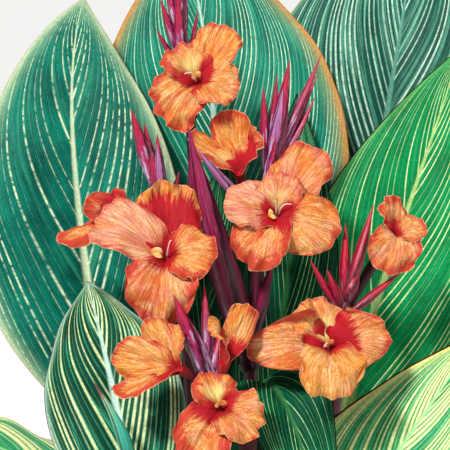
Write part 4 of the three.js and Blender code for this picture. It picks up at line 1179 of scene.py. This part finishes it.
# cream rays out of the throat on the petals that have them
ray = add(tree, "ShaderNodeMapRange", {0: streaks, 1: 0.36, 2: 0.5, 3: 0.0, 4: 1.0})
near = add(tree, "ShaderNodeMapRange", {0: along_u, 1: 0.5, 2: 0.78, 3: 1.0, 4: 0.0},
           interpolation_type="SMOOTHSTEP")
side_v = add(tree, "ShaderNodeMath", {0: across_v}, operation="ABSOLUTE")
central = add(tree, "ShaderNodeMapRange", {0: side_v, 1: 0.16, 2: 0.46, 3: 1.0, 4: 0.0})
rayed = add(tree, "ShaderNodeMath", {0: ray, 1: near}, operation="MULTIPLY")
rayed = add(tree, "ShaderNodeMath", {0: rayed, 1: central}, operation="MULTIPLY")
cream_share = add(tree, "ShaderNodeMath", {0: rayed, 1: cream}, operation="MULTIPLY")
creamed = add(tree, "ShaderNodeMix", {0: cream_share, 6: hearted, 7: "#ffec92"}, data_type="RGBA")
# the reverse of a petal is redder
back_share = add(tree, "ShaderNodeMath", {0: reverse, 1: 0.6}, operation="MULTIPLY")
backed = add(tree, "ShaderNodeMix", {0: back_share, 6: creamed, 7: "#bc2018"}, data_type="RGBA")
# thin broken pale rim
rim_width = add(tree, "ShaderNodeMapRange", {0: streaks, 1: 0.44, 2: 0.62, 3: 0.1, 4: 1.1})
rim_share = add(tree, "ShaderNodeMapRange", {0: edge, 1: 0.1, 2: rim_width, 3: 0.6, 4: 0.0})
rimmed = add(tree, "ShaderNodeMix", {0: rim_share, 6: backed, 7: "#f8c890"}, data_type="RGBA")
crepe = add(tree, "ShaderNodeMath", {0: streaks, 1: clouds}, operation="ADD")
crepe = add(tree, "ShaderNodeMath", {0: crepe, 1: threads}, operation="ADD")
bump = add(tree, "ShaderNodeBump", {"Height": crepe, "Strength": 0.6, "Distance": 0.0016})
feed(tree, shader, {"Base Color": rimmed, "Normal": bump})

# Tube skin: crimson flesh, smooth and satin, darkest where it leaves the ovary.
flesh, tree, shader = finish("crimson_flesh", Roughness=0.42)
tones = add(tree, "ShaderNodeValToRGB", {"Fac": mark_parts(tree, "grain")["Z"]}, (
    (0.0, "#6a1030"), (1.0, "#b40c1c")))
feed(tree, shader, {"Base Color": tones})

# Stamen skin: crimson at its foot, then orange, pale cream, and at last the petals' orange.
stamen_skin, tree, shader = finish("cream_stamen", Roughness=0.55, Specular_IOR_Level=0.25)
fan = mark_parts(tree, "fan")
fanned = add(tree, "ShaderNodeCombineXYZ", {0: fan["X"], 1: fan["Y"]})
drawn = add(tree, "ShaderNodeMapping", {"Vector": fanned, "Scale": (7, 1.6, 1)})
streaks = add(tree, "ShaderNodeTexNoise", {"Vector": drawn, "Scale": 1.0, "Detail": 5, "Roughness": 0.7})
pushed = add(tree, "ShaderNodeMapRange", {0: streaks, 1: 0.3, 2: 0.7, 3: -0.22, 4: 0.22})
height = add(tree, "ShaderNodeMath", {0: fan["Y"], 1: pushed}, operation="ADD", use_clamp=True)
tones = add(tree, "ShaderNodeValToRGB", {"Fac": height}, (
    (0.2, "#a80a14"), (0.38, "#dc5a20"), (0.55, "#f8e49c"), (0.8, "#f0a850"), (1.0, "#e2702c")))
bump = add(tree, "ShaderNodeBump", {"Height": streaks, "Strength": 0.5, "Distance": 0.001})
feed(tree, shader, {"Base Color": tones, "Normal": bump})

# Style skin: white flushed with pink, moist.
style_skin, tree, shader = finish("pale_style", Roughness=0.3)
shader.inputs["Base Color"].default_value = linear("#f4dcd2")


def warted(name, under, count, radius, seed):
    """Small round warts on the ovary, placed by a node tree, as a plain mesh."""
    numbers = {"Warts per square metre": count, "Wart radius": radius}
    tree, given = opened(name, "Ovary", numbers, "Warts")
    spots = add(tree, "GeometryNodeDistributePointsOnFaces", {
        "Mesh": given["Ovary"], "Distance Min": radius * 1.6,
        "Density Max": given["Warts per square metre"], "Seed": seed}, distribute_method="POISSON")
    wart = add(tree, "GeometryNodeMeshIcoSphere", {"Radius": given["Wart radius"], "Subdivisions": 1})
    scale = add(tree, "FunctionNodeRandomValue", {2: 0.6, 3: 1.2, "Seed": seed + 1}, data_type="FLOAT")
    laid = add(tree, "GeometryNodeInstanceOnPoints", {
        "Points": spots.outputs["Points"], "Instance": wart,
        "Rotation": spots.outputs["Rotation"], "Scale": scale})
    return grown(name, tree, laid, bud_skin, under, numbers)


for name, (host_name, at, throat, opens, petals, stamen, hooks) in BLOOMS.items():
    throat = Vector(throat)
    opens = tilted(Vector(opens).normalized())
    base = throat - opens * TUBE_BACK
    salt = sum(map(ord, name)) * 0.137      # gives each bloom noise of its own

    # ovary and its warts
    stalk = STALKS[host_name]
    root = bezier(*stalk["curve"])(param_at(stalk, at))
    turn = base - opens * OVARY_STRAIGHT
    neck = bezier(root, root.lerp(turn, 0.5), turn, base)

    def ovary_radius(share, around):
        return mix(OVARY_ROOT, TUBE_BASE, share) + OVARY_SWELL * math.sin(math.pi * share ** 1.5)

    # With no lap mark on them, the bud skin's painted tuck shade covers the ovary and its warts, so both
    # come out near black-burgundy.
    ovary = made(name + "_ovary", [(*rod(neck, ovary_radius, *OVARY_FINE), 0)], [bud_skin])
    warts = warted(name + "_warts", ovary, WARTS_PER_AREA, WART_RADIUS, WART_SEED)
    for body in (ovary, warts):
        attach(body, "root")
        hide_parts(host_name)

    # tube, petals, stamen and style
    foot = base + opens * CLEARANCE
    mouth = foot + opens * TUBE_LENGTH
    shells = [(*rod(bezier(foot, foot.lerp(mouth, 0.5), mouth),
                    lambda share, around: mix(TUBE_BASE, TUBE_MOUTH, share), *TUBE_FINE), 1)]
    for k, petal in enumerate(petals):
        right, back, up, width, arch, roll, rounding, blush, heart, scorch, cream = petal
        spine, side = petal_spine(throat, opens, (right, back, up), arch)
        key = salt + 5.3 * k
        size = width / USUAL_WIDTH

        def half_width(u):
            return width / 2 * petal_outline(u)

        def relief(u, v, half):
            open_part = max(u - OPEN_FROM, 0) / (1 - OPEN_FROM)
            crumple = CRUMPLE * size * noise.noise((u * 3.2 + key, v * 2.0, 0)) * open_part
            creases = CREASE * noise.noise((u * 5, v * 8 + key, 2)) * open_part
            ruffle = RUFFLE * size * abs(v) ** 3 * math.sin(2 * math.pi * (3.4 * u + key)) * open_part
            flutter = FLUTTER * size * u ** 8 * math.sin(2 * math.pi * 1.7 * v + key)
            pleats = PLEAT * math.sin(v * 26 + key) * open_part
            margin = key + math.copysign(20, v)
            lobes = LOBE * noise.noise((u * 4.5, margin, 0)) + 0.03 * noise.noise((u * 17, margin, 3))
            frays = FRAY * noise.noise((u * 60, margin, 6))
            jags = JAG * noise.noise((v * 2.0, key, 9)) + 1.1 * noise.noise((v * 7, key, 12))
            jags += 0.5 * noise.noise((v * 26, key, 15))
            ahead_by = size * jags * u ** 5 - petal_recede(u, v, rounding * width)
            wider = 1 + (lobes + frays) * open_part * abs(v)
            return crumple + creases + ruffle + flutter + pleats, 0, wider, ahead_by

        points, faces, places = blade(
            spine, side, half_width, (0.9, 0.15), (0.5, 0.55), width * 0.05, 2.2, roll, 1.2,
            PETAL_THICKNESS, relief, PETAL_ALONG, PETAL_ACROSS)
        length = length_of(spine)
        fan = []
        for u, v, skin, half in places:
            onward = (u - FAN_FROM) * length - petal_recede(u, v, rounding * width)
            fan.append((math.atan2(v * half, max(onward, -4)) / (math.pi / 2), u, blush))
        limits = []
        for u, v, skin, half in places:
            tip_gap = (1 - u) * (length - petal_recede(1, v, rounding * width))
            limits.append((min(half * (1 - abs(v)), tip_gap), 0 if skin > 0 else 1, heart))
        tints = [(scorch, cream, 31 * key)] * len(places)
        shells.append((points, faces, {"fan": fan, "limits": limits, "tints": tints}, 0))
    if stamen:
        spine, side = petal_spine(throat, opens, stamen, 6)
        points, faces, places = blade(
            spine, side, lambda u: STAMEN_WIDTH / 2 * max(math.sin(math.pi * u ** 1.6), 0.25),
            (0.9, 0.5), (0.5, 0.9), 0, 1, 0, 1, PETAL_THICKNESS,
            lambda u, v, half: (1.2 * noise.noise((u * 5, v * 2, salt)), 0, 1, 0), *STAMEN_FINE)
        shells.append((points, faces, {"fan": [(v, u, 0) for u, v, skin, half in places]}, 2))
    for right, up in hooks:
        foot_point = throat - opens * 4 + tilted((right * 0.15, 0, up * 0.15))
        bend_point = throat + opens * STYLE_LENGTH + tilted((right * 0.3, 0, up * 0.5 + 4))
        tip_point = throat + opens * STYLE_LENGTH * 0.7 + tilted((right, 0, up))
        shells.append((*rod(bezier(foot_point, bend_point, tip_point),
                            lambda share, around: STYLE_RADIUS * (1.25 - 0.5 * share), *STYLE_FINE), 3))
    body = made(name + "_petals", shells, [petal_skin, flesh, stamen_skin, style_skin], sharp=60)
    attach(body, "root")
    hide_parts(name)
